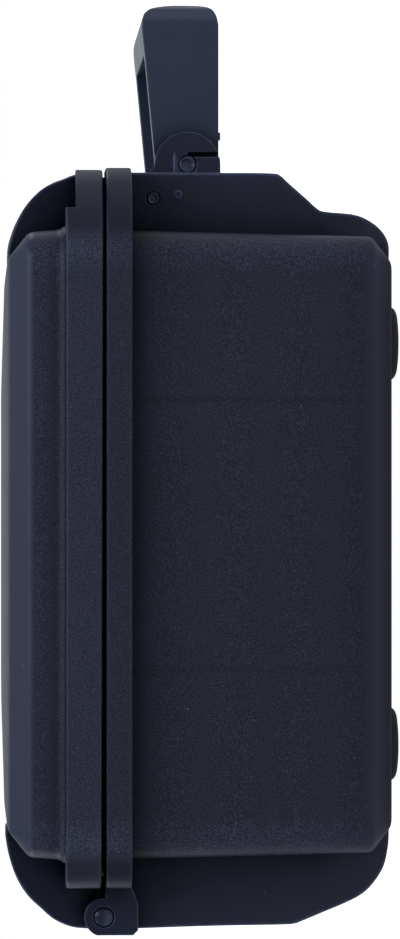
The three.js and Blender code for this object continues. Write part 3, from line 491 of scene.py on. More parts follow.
def turned(profile, centre, axis):
    """A turned solid from pairs of a place along the axis and a radius."""
    rings = []
    for along, radius in profile:
        rings.append([])
        for step in range(ROUND_STEPS):
            angle = 2 * math.pi * step / ROUND_STEPS
            wide, up = radius * math.cos(angle), radius * math.sin(angle)
            turn = {"x": (along, wide, up), "y": (up, along, wide), "z": (wide, up, along)}
            rings[-1].append([place + offset for place, offset in zip(centre, turn[axis])])
    return lofted(rings)


def rod(radius, x_low, x_high, y, z):
    return turned([(x_low, radius), (x_high, radius)], (0, y, z), "x")


def together(parts):
    whole = bmesh.new()
    for part in parts:
        held = bpy.data.meshes.new("held")
        part.to_mesh(held)
        part.free()
        whole.from_mesh(held)
        bpy.data.meshes.remove(held)
    return whole


def carved(body, tools, operation="DIFFERENCE"):
    """Cuts tools that don't meet each other out of a body, or keeps what both share."""
    stands = []
    for made in (body, together(tools)):
        bmesh.ops.recalc_face_normals(made, faces=made.faces)
        mesh = bpy.data.meshes.new("held")
        made.to_mesh(mesh)
        made.free()
        stands.append(bpy.data.objects.new("held", mesh))
        bpy.context.scene.collection.objects.link(stands[-1])
    cutting = stands[0].modifiers.new("cut", "BOOLEAN")
    cutting.operation = operation
    cutting.solver = "MANIFOLD"
    cutting.object = stands[1]
    result = bmesh.new()
    ready = stands[0].evaluated_get(bpy.context.evaluated_depsgraph_get())
    result.from_mesh(ready.to_mesh())
    ready.to_mesh_clear()
    for stand in stands:
        mesh = stand.data
        bpy.data.objects.remove(stand)
        bpy.data.meshes.remove(mesh)
    bmesh.ops.dissolve_limit(
        result, angle_limit=SAME_PLANE, verts=result.verts, edges=result.edges, delimit={"NORMAL"}
    )
    return result


def rim_cuts(low, high, pocket_low, pocket_high):
    cuts = []
    for side in (-1, 1):
        bay = sorted((side * (LATCH_X - BAY_HALF), side * (LATCH_X + BAY_HALF)))
        cuts.append(block(bay, (RIM_PLAN[1] - OVERRUN, SEAT_Y), (low - OVERRUN, high + OVERRUN)))
        hole = [(low - OVERRUN, PADLOCK_RADIUS), (high + OVERRUN, PADLOCK_RADIUS)]
        cuts.append(turned(hole, (side * PADLOCK_X, PADLOCK_Y, 0), "z"))
    for index in range(POCKETS):
        middle = (index - (POCKETS - 1) / 2) * POCKET_PITCH
        ends = (middle - POCKET_LENGTH / 2, middle + POCKET_LENGTH / 2)
        cuts.append(block(ends, (POCKET_FRONT, POCKET_BACK), (pocket_low, pocket_high), 2))
    return cuts


cavity_inset = WALL - HIDDEN / 2
rim_edge = eased(
    [(RIM_LAP, RIM_LOW), (0, RIM_LOW), (0, BASE_TOP), (RIM_LAP, BASE_TOP)], RIM_ROUND
)
ridge = eased(
    [
        (RIDGE_OUT - OVERRUN, BASE_TOP),
        (RIDGE_OUT, BASE_TOP),
        (RIDGE_OUT + RIDGE_TAPER, RIDGE_TOP),
        (RIDGE_IN - RIDGE_TAPER, RIDGE_TOP),
        (RIDGE_IN, BASE_TOP),
        (cavity_inset, BASE_TOP),
    ],
    RIDGE_ROUND,
)
base_rim = lofted(
    [loop_round(RIM_PLAN, inset, z) for inset, z in rim_edge]
    + [loop_round(BODY_PLAN, inset, z) for inset, z in ridge]
    + [loop_round(BODY_PLAN, cavity_inset, RIM_LOW)],
    closed=True,
)
pocket_run = (RIM_LOW - OVERRUN, BASE_TOP - FLANGE_PLATE)
base_rim = carved(base_rim, rim_cuts(RIM_LOW, BASE_TOP, *pocket_run))
piece("base_rim", base_rim, grained, "base", "shell_plastic", "base_shell")

# The guard wings: upright plates moulded with each shell, two beside each latch at the front and
# one at each hinge at the back. They keep the latches from being knocked.
WING_THICK = 5
WING_ROUND = 1.5
WING_ROOT = 16
FRONT_OVERHANG, BACK_OVERHANG = 29, 34.7
BASE_FRONT_WING = (
    (1, 0.54), (0.99, 0.445), (0.955, 0.42), (0.832, 0.389), (0.56, 0.318), (0.39, 0.274),
    (0.345, 0.24), (0.287, 0.123), (0.096, 0.044), (-0.16, 0.004), (-0.45, 0),
)
BASE_BACK_WING = (
    (1.015, 0.965), (0.985, 0.68), (0.972, 0.42), (0.958, 0.365), (0.93, 0.342), (0.79, 0.249),
    (0.671, 0.171), (0.565, 0.1135), (0.45, 0.075), (0.291, 0.041), (0.118, 0.017),
    (-0.13, 0.003), (-0.3, 0),
)
LID_FRONT_WING = (
    (0.96, 0.05), (0.976, 0.2), (0.945, 0.29), (0.893, 0.365), (0.81, 0.494), (0.669, 0.623),
    (0.434, 0.752), (0.134, 0.856), (-0.166, 0.921), (-0.334, 0.94),
)
LID_BACK_WING = (
    (1.03, 0.129), (1.009, 0.275), (0.945, 0.402), (0.859, 0.503), (0.732, 0.604),
    (0.602, 0.706), (0.464, 0.783), (0.305, 0.846), (0.112, 0.898), (-0.084, 0.935),
    (-0.294, 0.96),
)
LID_BOTTOM, LID_TOP = 145.6, 193.6
HINGE_Y, HINGE_Z = 180.8, 143.9
LEVER_PIN_Y, LEVER_PIN_Z, LEVER_PIN_RADIUS = -168.3, 119.6, 3.2
PIN_ROOM = 0.3
MARK_Y, MARK_Z = -170.2, 107.6
MARK_PROFILE = ((-0.5, 1.9), (0.1, 1.9), (0.3, 1.6), (0.3, 1.3), (0.05, 1), (0.02, 0.1))
WING_HOLE_Y, WING_HOLE_Z, WING_HOLE_RADIUS = 169.5, 150.1, 1.5
HINGE_BORE = 5.1
PIN_BORE_RUN, WING_BORE_RUN = (120, 200), (180, 195)
BASE_BACK_RUN, LID_BACK_RUN = (190, 195), (184.5, 189.5)


def slab(outline, x_low, x_high):
    """A plate cut to an outline drawn in Y and Z."""
    return lofted([[(x, y, z) for y, z in outline] for x in (x_low, x_high)])


def curve_through(points, steps=5):
    """A smooth line through all the points."""
    line = []
    for i in range(len(points) - 1):
        before, start = points[max(i - 1, 0)], points[i]
        end, after = points[i + 1], points[min(i + 2, len(points) - 1)]
        for step in range(steps):
            t = step / steps
            line.append(
                tuple(
                    0.5
                    * (
                        2 * b
                        + (c - a) * t
                        + (2 * a - 5 * b + 4 * c - d) * t * t
                        + (3 * b - a - 3 * c + d) * t**3
                    )
                    for a, b, c, d in zip(before, start, end, after)
                )
            )
    return line + [tuple(points[-1])]


def wing(shares, wall_y, overhang, low, height, root_low, root_high, x_low, x_high):
    way = math.copysign(1, wall_y)
    edge = [(wall_y + way * out * overhang, low + up * height) for out, up in shares]
    root_y = wall_y - way * WING_ROOT
    outline = [(root_y, root_low), (edge[0][0], root_low)] + curve_through(edge)
    return softened(slab(outline + [(root_y, root_high)], x_low, x_high), WING_ROUND)


def across(side, near, far):
    return sorted((side * near, side * far))


front_wing_places = [
    across(side, start, start + WING_THICK)
    for side in (-1, 1)
    for start in (LATCH_X - BAY_HALF - WING_THICK, LATCH_X + BAY_HALF)
]
smooth = moulded("smooth_plastic", (0.0118, 0.0146, 0.031), 0.36, 0.28, (0.0016, 0.00001), 9, 1.3)
base_height = RIM_LOW - UNDERSIDE
pin_bores = [
    rod(LEVER_PIN_RADIUS + PIN_ROOM, *across(side, *PIN_BORE_RUN), LEVER_PIN_Y, LEVER_PIN_Z)
    for side in (-1, 1)
]
base_wings = carved(
    together(
        wing(BASE_FRONT_WING, TUB_FRONT, FRONT_OVERHANG, UNDERSIDE, base_height,
             BASE_TOP - HIDDEN, UNDERSIDE, *place)
        for place in front_wing_places
    ),
    pin_bores,
)
wing_face = LATCH_X + BAY_HALF + WING_THICK
moulding_marks = []
for side in (-1, 1):
    mark = [(side * (wing_face + out), radius) for out, radius in MARK_PROFILE]
    moulding_marks.append(turned(mark, (0, MARK_Y, MARK_Z), "x"))
base_wings = together([base_wings] + moulding_marks)
piece("base_front_wings", base_wings, smooth, "base", "shell_plastic", "base_shell")
back_wings = together(
    wing(BASE_BACK_WING, TUB_BACK, BACK_OVERHANG, UNDERSIDE, base_height,
         RIM_LOW + HIDDEN, UNDERSIDE, *across(side, *BASE_BACK_RUN))
    for side in (-1, 1)
)
piece("base_back_wings", back_wings, smooth, "base", "shell_plastic", "base_shell")
lid_height = LID_TOP - LID_BOTTOM
lid_front_wings = together(
    wing(LID_FRONT_WING, TUB_FRONT, FRONT_OVERHANG, LID_BOTTOM, lid_height, LID_BOTTOM + HIDDEN,
         LID_BOTTOM + LID_FRONT_WING[-1][1] * lid_height, *place)
    for place in front_wing_places
)
piece("lid_front_wings", lid_front_wings, smooth, "lid", "shell_plastic", "lid_shell")
wing_holes = ((WING_HOLE_RADIUS, WING_HOLE_Y, WING_HOLE_Z), (HINGE_BORE, HINGE_Y, HINGE_Z))
lid_back_wings = together(
    wing(LID_BACK_WING, TUB_BACK, BACK_OVERHANG, LID_BOTTOM, lid_height, LID_BOTTOM + HIDDEN,
         LID_BOTTOM + LID_BACK_WING[-1][1] * lid_height, *across(side, *LID_BACK_RUN))
    for side in (-1, 1)
)
lid_back_wings = carved(
    lid_back_wings,
    [
        rod(radius, *across(side, *WING_BORE_RUN), y, z)
        for side in (-1, 1)
        for radius, y, z in wing_holes
    ],
)
piece("lid_back_wings", lid_back_wings, smooth, "lid", "shell_plastic", "lid_shell")

# The lugs that carry the handle: a flat ear at each side of it, moulded to the front wall and the
# rim's underside. The handle's stub snaps in through a slot from the ear's lower edge.
PIVOT_Y, PIVOT_Z = -191.2, 99.0
LUG_RADIUS, LUG_HOLE = 16.8, 4.8
LUG_NEAR, LUG_FAR = 83.3, 90.3
LUG_ROUND = 0.8
LUG_BAR, LUG_BAR_RUN, LUG_BAR_HEIGHTS = 0.3, (-197, -187), (105.2, 105.8)
LUG_ROOT_Y, LUG_ROOT_DROP, LUG_TOP = -146, 26, RIM_LOW + 1
SLOT_FRONT, SLOT_BACK = -6.2, -4.0


def arc(y, z, radius, start, end, steps):
    """Points on a part of a circle, with angles in degrees from +Y towards +Z."""
    angles = [math.radians(start + (end - start) * i / steps) for i in range(steps + 1)]
    return [(y + radius * math.cos(a), z + radius * math.sin(a)) for a in angles]


def on_circle(radius, offset):
    """The angle, below the middle, at which a circle has this offset in Y."""
    return 360 - math.degrees(math.acos(offset / radius))


lug_outline = (
    [(LUG_ROOT_Y, PIVOT_Z - LUG_ROOT_DROP), (LUG_ROOT_Y, LUG_TOP), (SEAT_Y, LUG_TOP)]
    + arc(PIVOT_Y, PIVOT_Z, LUG_RADIUS, 90, on_circle(LUG_RADIUS, SLOT_FRONT), 30)
    + [(PIVOT_Y + SLOT_FRONT, PIVOT_Z)]
    + arc(PIVOT_Y, PIVOT_Z, LUG_HOLE, 180, on_circle(LUG_HOLE, SLOT_BACK) - 360, 24)
    + arc(PIVOT_Y, PIVOT_Z, LUG_RADIUS, on_circle(LUG_RADIUS, SLOT_BACK), 270, 2)
    + [(PIVOT_Y + LUG_RADIUS / 2, PIVOT_Z - LUG_RADIUS)]
)
lugs = []
for side in (-1, 1):
    bar = block(across(side, LUG_FAR - OVERRUN, LUG_FAR + LUG_BAR), LUG_BAR_RUN, LUG_BAR_HEIGHTS)
    lugs.append(softened(slab(lug_outline, *across(side, LUG_NEAR, LUG_FAR)), LUG_ROUND))
    lugs.append(softened(bar, LUG_BAR / 3))
piece("handle_lugs", together(lugs), smooth, "base", "shell_plastic", "base_shell")

# The hinge knuckles: eyes moulded behind each rim, two on the base with the lid's long one between
# them. A rod pushed in from the outside joins them.
BASE_EYE, LID_EYE = 9.4, 7.8
EYE_BACK = 189.6
EYE_RISE = 2.2
RIM_BACK = RIM_PLAN[2]
EYE_ROOT_Y, RAISED_Y = RIM_BACK - 6, RIM_BACK + 1.1
EYE_LOW, EYE_CHAMFER, EYE_STEP = BASE_TOP - 16.2, 2.4, 9.2
OUTER_EYE, INNER_EYE, LID_EYE_RUN = (195, 205), (138, 149), (149.5, 189.5)
EYE_BORE_RUN, LID_EYE_MEETS, LID_EYE_TURN = (130, 210), 4, (210, 450)
KNUCKLE_ROUND = 0.8

top_meets = 180 + math.degrees(math.asin((HINGE_Z - BASE_TOP) / BASE_EYE))
back_meets = math.degrees(math.acos((EYE_BACK - HINGE_Y) / BASE_EYE))
eye_outline = (
    [(EYE_ROOT_Y, BASE_TOP - HIDDEN), (HINGE_Y - BASE_EYE, BASE_TOP - HIDDEN)]
    + arc(HINGE_Y, HINGE_Z, BASE_EYE, top_meets, back_meets, 24)
    + [
        (EYE_BACK, EYE_LOW + EYE_CHAMFER),
        (EYE_BACK - EYE_CHAMFER, EYE_LOW),
        (RIM_BACK + EYE_STEP, EYE_LOW),
        (RIM_BACK, RIM_LOW),
        (EYE_ROOT_Y, RIM_LOW),
    ]
)
lid_eye_outline = (
    [(EYE_ROOT_Y, LID_BOTTOM), (HINGE_Y - LID_EYE_MEETS, LID_BOTTOM)]
    + arc(HINGE_Y, HINGE_Z, LID_EYE, *LID_EYE_TURN, 28)
    + [(EYE_ROOT_Y, HINGE_Z + LID_EYE)]
)
raised_outline = [
    (EYE_ROOT_Y, BASE_TOP - HIDDEN),
    (RAISED_Y, BASE_TOP - HIDDEN),
    (RAISED_Y, BASE_TOP + EYE_RISE),
    *eye_outline[4:],
]
base_eyes = ((OUTER_EYE, eye_outline), (INNER_EYE, raised_outline))
for body, outlines in (("base", base_eyes), ("lid", ((LID_EYE_RUN, lid_eye_outline),))):
    eyes = together(
        softened(slab(outline, *across(side, *run)), KNUCKLE_ROUND)
        for side in (-1, 1)
        for run, outline in outlines
    )
    eyes = carved(
        eyes, [rod(HINGE_BORE, *across(side, *EYE_BORE_RUN), HINGE_Y, HINGE_Z) for side in (-1, 1)]
    )
    piece(body + "_hinge_eyes", eyes, smooth, body, "shell_plastic", body + "_shell")

# The lid: a shallower moulding of the same plastic, with a collar above its rim, a bevelled edge
# and a top that rises a little to its middle.
lid_plastic = moulded(
    "lid_plastic", (0.0115, 0.0132, 0.0245), 0.33, 0.45, (0.0007, 0.00016), 3, 1.1, 0.85, True
)
LID_RIM_HEIGHT, LID_COLLAR, LID_COLLAR_HEIGHT = 17, 2, 2.6
LID_DRAFT, LID_CROWN, LID_SHOULDER, CROWN_RUN = 1.2, 1.5, 1.6, 62
lid_rim_top = LID_BOTTOM + LID_RIM_HEIGHT
crown = LID_TOP - LID_CROWN
lid_outside = eased(
    [
        (-LID_COLLAR, LID_BOTTOM + HIDDEN),
        (-LID_COLLAR, lid_rim_top + LID_COLLAR_HEIGHT - LID_COLLAR),
        (0, lid_rim_top + LID_COLLAR_HEIGHT),
        (LID_DRAFT, crown - LID_SHOULDER - BEVEL_HEIGHT),
        (LID_DRAFT + BEVEL_RUN, crown - LID_SHOULDER),
        (LID_DRAFT + BEVEL_RUN + CROWN_RUN / 5, crown),
        (LID_DRAFT + BEVEL_RUN + CROWN_RUN, LID_TOP),
        (LID_DRAFT + BEVEL_RUN + CROWN_RUN + 3 * EDGE_ROUND, LID_TOP),
    ],
    EDGE_ROUND,
)
lid_inside = eased(
    [
        (WALL, LID_BOTTOM + HIDDEN),
        (LID_DRAFT + WALL, crown - LID_SHOULDER - BEVEL_HEIGHT - WALL / 2),
        (LID_DRAFT + BEVEL_RUN + WALL / 2, crown - LID_SHOULDER - WALL),
        (LID_DRAFT + BEVEL_RUN + CROWN_RUN, crown - WALL / 2),
        (LID_DRAFT + BEVEL_RUN + CROWN_RUN + 3 * EDGE_ROUND, crown - WALL / 2),
    ],
    2 * EDGE_ROUND,
)
lid_loops = [loop_round(BODY_PLAN, inset, z) for inset, z in lid_outside[::-1] + lid_inside]
piece("lid_tub", lofted(lid_loops), lid_plastic, "lid", "shell_plastic", "lid_shell")

# The lid rim: it closes on the base rim with a narrow gap all round. A groove in its underside
# holds the seal, its front flange is thinner, and the latches' claws sit on the part behind it.
LID_RIM_PLAN = (240, -181.4, 164.9, 32, 14)
LID_FLANGE_TOP, LID_STEP_Y = 157.6, -161.8
GROOVE_OUT, GROOVE_IN, GROOVE_TOP = -3.5, 2.5, 150.2
GROOVE_LAP, GROOVE_ROUND = 0.8, 0.4
FRONT_DROP = 0.9
CUT_ROUND = 0.7
groove = eased(
    [
        (cavity_inset, LID_BOTTOM),
        (GROOVE_IN, LID_BOTTOM),
        (GROOVE_IN, GROOVE_TOP),
        (GROOVE_OUT, GROOVE_TOP),
        (GROOVE_OUT, LID_BOTTOM),
        (GROOVE_OUT - GROOVE_LAP, LID_BOTTOM),
    ],
    GROOVE_ROUND,
)
lid_rim_edge = eased(
    [(RIM_LAP, LID_BOTTOM), (0, LID_BOTTOM), (0, lid_rim_top), (RIM_LAP, lid_rim_top)], RIM_ROUND
)
lid_rim = lofted(
    [loop_round(LID_RIM_PLAN, inset, z) for inset, z in lid_rim_edge]
    + [loop_round(BODY_PLAN, cavity_inset, lid_rim_top)]
    + [loop_round(BODY_PLAN, inset, z) for inset, z in groove],
    closed=True,
)
lid_rim = carved(
    lid_rim,
    rim_cuts(LID_BOTTOM, lid_rim_top, LID_BOTTOM - OVERRUN, LID_FLANGE_TOP - FLANGE_PLATE),
)
lid_rim = carved(
    lid_rim,
    [
        block(
            (-RIM_PLAN[0] - OVERRUN, RIM_PLAN[0] + OVERRUN),
            (RIM_PLAN[1] - OVERRUN, LID_STEP_Y),
            (LID_FLANGE_TOP, lid_rim_top + OVERRUN),
        )
    ],
)
for corner in lid_rim.verts:
    if corner.co.z < (LID_BOTTOM + RIM_ROUND) * MILLIMETRE:
        place_y = corner.co.y / MILLIMETRE - BODY_SHIFT
        share = (RIM_BACK - place_y) / (RIM_BACK - LID_RIM_PLAN[1])
        corner.co.z -= FRONT_DROP * share * MILLIMETRE
lid_rim = softened(lid_rim, CUT_ROUND, 2, 60)
piece("lid_rim", lid_rim, lid_plastic, "lid", "shell_plastic", "lid_shell")

# The seal: one endless cord of foam rubber, pressed into the lid's groove with its belly showing.
SEAL_OUT, SEAL_IN, SEAL_LOW, SEAL_HIGH = -3.2, 2.2, 147.3, 149.9
SEAL_ROUND, SEAL_LAP = 1.0, 0.2
rubber = moulded("seal_rubber", (0.010, 0.010, 0.0115), 0.3, 0.78, (0.0005, 0.00004), 2, 1)
seal_section = eased(
    [
        (0, SEAL_LOW),
        (SEAL_OUT, SEAL_LOW),
        (SEAL_OUT, SEAL_HIGH),
        (SEAL_IN, SEAL_HIGH),
        (SEAL_IN, SEAL_LOW),
        (SEAL_LAP, SEAL_LOW),
    ],
    SEAL_ROUND,
)
seal_loops = [loop_round(BODY_PLAN, inset, z) for inset, z in seal_section]
piece("lid_seal_cord", lofted(seal_loops, closed=True), rubber, "lid", "seal_rubber", "lid_seal")

# The carry handle: one hollow-backed moulding of tough plastic with all its outer edges rounded.
# It is drawn from above as a hoop and from the side as an arm that widens towards the grip.
HANDLE_HALF, ARM_THICK, GRIP_THICK = 83, 12, 25
HANDLE_TIP, ARM_LOW, ARM_HIGH, TIP_HIGH = -273.9, 16.1, 16, 23.1
GRIP_CORNER, GRIP_INNER_CORNER = 15, 10
TIP_PROFILE = (
    (26, 21.5), (12.5, 22.9), (6.6, 22.3), (4.7, 21.3), (2.9, 19.3), (2, 17.2), (1.1, 13.1),
    (0.5, 9), (0.1, 5), (0, 0.9), (0.2, -3.2), (0.7, -7.3), (1, -9.3), (1.7, -11.4),
    (3.2, -13.4), (6.6, -15.2), (11, -16.1),
)
HANDLE_ROUND = 2.6
STUB_RADIUS, STUB_END = 4.5, 90.3
STUB_NOSE = ((0.9, 0), (0.35, 0.25), (0, 0.8), (0, 1.2), (0.5, 1.7), (0.7, 2.6))
STUB_ROOT, STUB_DIMPLE = 4, (0.75, 0.4)
GRIP_CELLS, GRIP_RIB, GRIP_POCKET, GRIP_SKIN = 5, 2.4, 15, 3.2
ARM_POCKET = 8
SLIVER = 0.01
NUB_Y, NUB_HALF, NUB_HEIGHT, NUB_ROUND = -206.1, 2.0, 1.0, 0.5
NUB_RUN = (HANDLE_HALF - 5, HANDLE_HALF - 0.4)


def bent(start, corner, end, steps):
    """Points of a curve from start to end that is drawn towards a corner."""
    return [
        tuple(
            a * (1 - t) ** 2 + b * 2 * t * (1 - t) + c * t * t
            for a, b, c in zip(start, corner, end)
        )
        for t in (i / steps for i in range(steps + 1))
    ]


# The handle's colour is paler than the shells', partly painted light for the light it catches.
tough = moulded("handle_plastic", (0.031, 0.04, 0.07), 0.35, 0.28, (0.0018, 0.000012), 2, 1.3)
arm_end = PIVOT_Y + ARM_LOW
inner_half = HANDLE_HALF - ARM_THICK
grip_inner = HANDLE_TIP + GRIP_THICK
right_half = (
    [(HANDLE_HALF, arm_end)]
    + bent(
        (HANDLE_HALF, HANDLE_TIP + GRIP_CORNER),
        (HANDLE_HALF, HANDLE_TIP),
        (HANDLE_HALF - GRIP_CORNER, HANDLE_TIP),
        12,
    )
)
inner_right = [(inner_half, arm_end)] + bent(
    (inner_half, grip_inner + GRIP_INNER_CORNER),
    (inner_half, grip_inner),
    (inner_half - GRIP_INNER_CORNER, grip_inner),
    10,
)
hoop = (
    right_half
    + [(-x, y) for x, y in right_half[::-1]]
    + [(-x, y) for x, y in inner_right]
    + inner_right[::-1]
)
side_low, side_high = PIVOT_Z - ARM_LOW, PIVOT_Z + TIP_HIGH
tip_line = curve_through([(HANDLE_TIP + back, PIVOT_Z + up) for back, up in TIP_PROFILE], 3)
side_view = arc(PIVOT_Y, PIVOT_Z, ARM_LOW, -90, 90, 24) + tip_line
handle_body = carved(
    level(hoop, side_low - OVERRUN, side_high + OVERRUN),
    [slab(side_view, -HANDLE_HALF - OVERRUN, HANDLE_HALF + OVERRUN)],
    "INTERSECT",
)
handle_body = softened(handle_body, HANDLE_ROUND, 4, 50)
hollow_half = inner_half - GRIP_INNER_CORNER
cell = (2 * hollow_half - (GRIP_CELLS - 1) * GRIP_RIB) / GRIP_CELLS
arm_hollow = (grip_inner + GRIP_INNER_CORNER, PIVOT_Y - ARM_LOW - GRIP_RIB)
arm_middle = sum(arm_hollow) / 2
arm_heights = (side_low + GRIP_SKIN, PIVOT_Z + ARM_HIGH - GRIP_SKIN)
handle_body = carved(
    handle_body,
    [
        block(
            (start, start + cell),
            (grip_inner - GRIP_POCKET, grip_inner + OVERRUN),
            (side_low + 2 * GRIP_SKIN, side_high - 2 * GRIP_SKIN),
            2,
            1,
        )
        for start in (-hollow_half + i * (cell + GRIP_RIB) for i in range(GRIP_CELLS))
    ]
    + [
        block(
            across(end, inner_half - OVERRUN, inner_half + GRIP_RIB), arm_hollow, arm_heights, 2, 0
        )
        for end in (-1, 1)
    ],
)
handle_body = carved(
    handle_body,
    [
        block(across(end, inner_half, inner_half + ARM_POCKET), hollow, arm_heights, 2, 0)
        for end in (-1, 1)
        for hollow in (
            (arm_hollow[0] + SLIVER, arm_middle - GRIP_RIB / 2),
            (arm_middle + GRIP_RIB / 2, arm_hollow[1] - SLIVER),
        )
    ],
)
stub_profile = [(HANDLE_HALF - STUB_ROOT, STUB_RADIUS)] + [
    (STUB_END - back, STUB_RADIUS - smaller) for back, smaller in STUB_NOSE
] + [(STUB_END - STUB_DIMPLE[0], STUB_DIMPLE[1])]
handle_parts = [handle_body]
for end in (-1, 1):
    handle_parts.append(turned([(end * x, r) for x, r in stub_profile], (0, PIVOT_Y, PIVOT_Z), "x"))
    nub = block(
        across(end, *NUB_RUN),
        (NUB_Y - NUB_HALF, NUB_Y + NUB_HALF),
        (side_low - NUB_HEIGHT, side_low + GRIP_SKIN),
    )
    handle_parts.append(softened(nub, NUB_ROUND, 2))
handle = together(handle_parts)
piece("carry_handle_body", handle, tough, "handle", "smooth_plastic", "carry_handle")

# The latch levers: a plate that a finger pulls, with a lip along its lower edge, a sunk face with
# ribs for grip, and two cheeks that turn on the lever's pin and carry the hook's pin.
LATCH_HALF = 28
LEVER_FRONT, LEVER_BACK, LEVER_TOP, LEVER_LOW = -180.5, -175.5, 97.9, 66.1
LIP_BACK, LIP_RISE = -170.5, 5.5
HOOK_PIN_Y, HOOK_PIN_Z, HOOK_PIN_RADIUS = -167.5, 108.6, 2.6
CHEEK_WIDTH, CHEEK_RADIUS = 8.5, 6.5
LATCH_ROUND, LATCH_CHAMFER = 0.8, 1.2
LIP_THICK = 2.5
PANEL_INSET, PANEL_DEPTH = 5, 0.9
GRIP_LINES, GRIP_LINE_PITCH, GRIP_LINE_RADIUS = 5, 4.2, 0.9
GRIP_LINE_TIP, GRIP_LINE_START, GRIP_LINE_FULL = 0.3, 5, 5.6
SIDES = {"left": -1, "right": 1}

plate_outline = [
    (LEVER_FRONT, LEVER_LOW + LATCH_CHAMFER), (LEVER_FRONT + LATCH_CHAMFER, LEVER_LOW),
    (LIP_BACK, LEVER_LOW), (LIP_BACK, LEVER_LOW + LIP_THICK), (LEVER_BACK, LEVER_LOW + LIP_RISE),
    (LEVER_BACK, LEVER_TOP), (LEVER_FRONT, LEVER_TOP),
]
cheek_outline = (
    [(LEVER_FRONT, LEVER_TOP - CHEEK_WIDTH), (LEVER_BACK, LEVER_TOP - CHEEK_WIDTH)]
    + arc(HOOK_PIN_Y, HOOK_PIN_Z, CHEEK_RADIUS, -90, 0, 8)
    + arc(LEVER_PIN_Y, LEVER_PIN_Z, CHEEK_RADIUS, 0, 180, 20)
    + [(LEVER_FRONT, HOOK_PIN_Z)]
)
for side_name, side in SIDES.items():
    lever_run = across(side, LATCH_X - LATCH_HALF, LATCH_X + LATCH_HALF)
    cheeks = [
        slab(cheek_outline, lever_run[0], lever_run[0] + CHEEK_WIDTH),
        slab(cheek_outline, lever_run[1] - CHEEK_WIDTH, lever_run[1]),
    ]
    lever = carved(slab(plate_outline, *lever_run), cheeks, "UNION")
    lever = softened(lever, LATCH_ROUND, 3, 40)
    panel_x = (lever_run[0] + PANEL_INSET, lever_run[1] - PANEL_INSET)
    bore_run = (lever_run[0] - OVERRUN, lever_run[1] + OVERRUN)
    lever = carved(
        lever,
        [
            rod(LEVER_PIN_RADIUS + PIN_ROOM, *bore_run, LEVER_PIN_Y, LEVER_PIN_Z),
            rod(HOOK_PIN_RADIUS + PIN_ROOM, *bore_run, HOOK_PIN_Y, HOOK_PIN_Z),
            block(
                panel_x,
                (LEVER_FRONT - 1, LEVER_FRONT + PANEL_DEPTH),
                (LEVER_LOW + PANEL_INSET, LEVER_TOP - PANEL_INSET),
                2,
                1,
            ),
        ],
    )
    line_profile = [
        (panel_x[0] + GRIP_LINE_START, GRIP_LINE_TIP),
        (panel_x[0] + GRIP_LINE_FULL, GRIP_LINE_RADIUS),
        (panel_x[1] - GRIP_LINE_FULL, GRIP_LINE_RADIUS),
        (panel_x[1] - GRIP_LINE_START, GRIP_LINE_TIP),
    ]
    lines = []
    for index in range(GRIP_LINES):
        rise = (index - (GRIP_LINES - 1) / 2) * GRIP_LINE_PITCH
        line_at = (0, LEVER_FRONT + PANEL_DEPTH, (LEVER_LOW + LEVER_TOP) / 2 + rise)
        lines.append(turned(line_profile, line_at, "x"))
    name = "lever_" + side_name
    piece(name, together([lever] + lines), smooth, name, "smooth_plastic", "latch_" + name)

# The latch hooks: a tongue that turns on the hook's pin and a broad head whose claw bears on the
# lid's rim, stiffened by a flange at each side and with a sunk panel in its front.
HEAD_FRONT, HEAD_BACK, HEAD_LOW, HEAD_SLOPE = -178.9, -174.9, 130.1, 6
CLAW_LOW, CLAW_HIGH, CLAW_END = 162.9, 167.5, -156
TONGUE_FRONT, TONGUE_BACK, KNUCKLE = -176.2, -172.4, 5
SIDE_FLANGE, FLANGE_BACK, FLANGE_ROOT, FLANGE_FOOT = 4, -166.4, 1.2, (2.1, 8.5)
HEAD_ROOT_Z, TONGUE_ROOM = HEAD_LOW + 4, 0.4

tongue_outline = (
    [(TONGUE_FRONT, HOOK_PIN_Z - KNUCKLE / 2)]
    + arc(HOOK_PIN_Y, HOOK_PIN_Z, KNUCKLE, 210, 450, 24)
    + [
        (TONGUE_BACK, HOOK_PIN_Z + KNUCKLE), (TONGUE_BACK, HEAD_LOW), (HEAD_BACK, HEAD_ROOT_Z),
        (HEAD_FRONT, HEAD_ROOT_Z), (TONGUE_FRONT, HEAD_LOW),
    ]
)
head_outline = [
    (HEAD_FRONT, HEAD_LOW + LATCH_CHAMFER), (HEAD_FRONT + LATCH_CHAMFER, HEAD_LOW),
    (HEAD_BACK, HEAD_LOW), (HEAD_BACK, CLAW_LOW), (CLAW_END, CLAW_LOW),
    (CLAW_END, CLAW_HIGH - LATCH_CHAMFER), (CLAW_END - LATCH_CHAMFER, CLAW_HIGH),
    (HEAD_FRONT + HEAD_SLOPE, CLAW_HIGH), (HEAD_FRONT, CLAW_HIGH - HEAD_SLOPE),
]
flange_outline = [
    (HEAD_BACK - FLANGE_ROOT, HEAD_LOW), (HEAD_BACK + FLANGE_FOOT[0], HEAD_LOW),
    (FLANGE_BACK, HEAD_LOW + FLANGE_FOOT[1]), (FLANGE_BACK, CLAW_LOW + FLANGE_ROOT),
    (HEAD_BACK - FLANGE_ROOT, CLAW_LOW + FLANGE_ROOT),
]
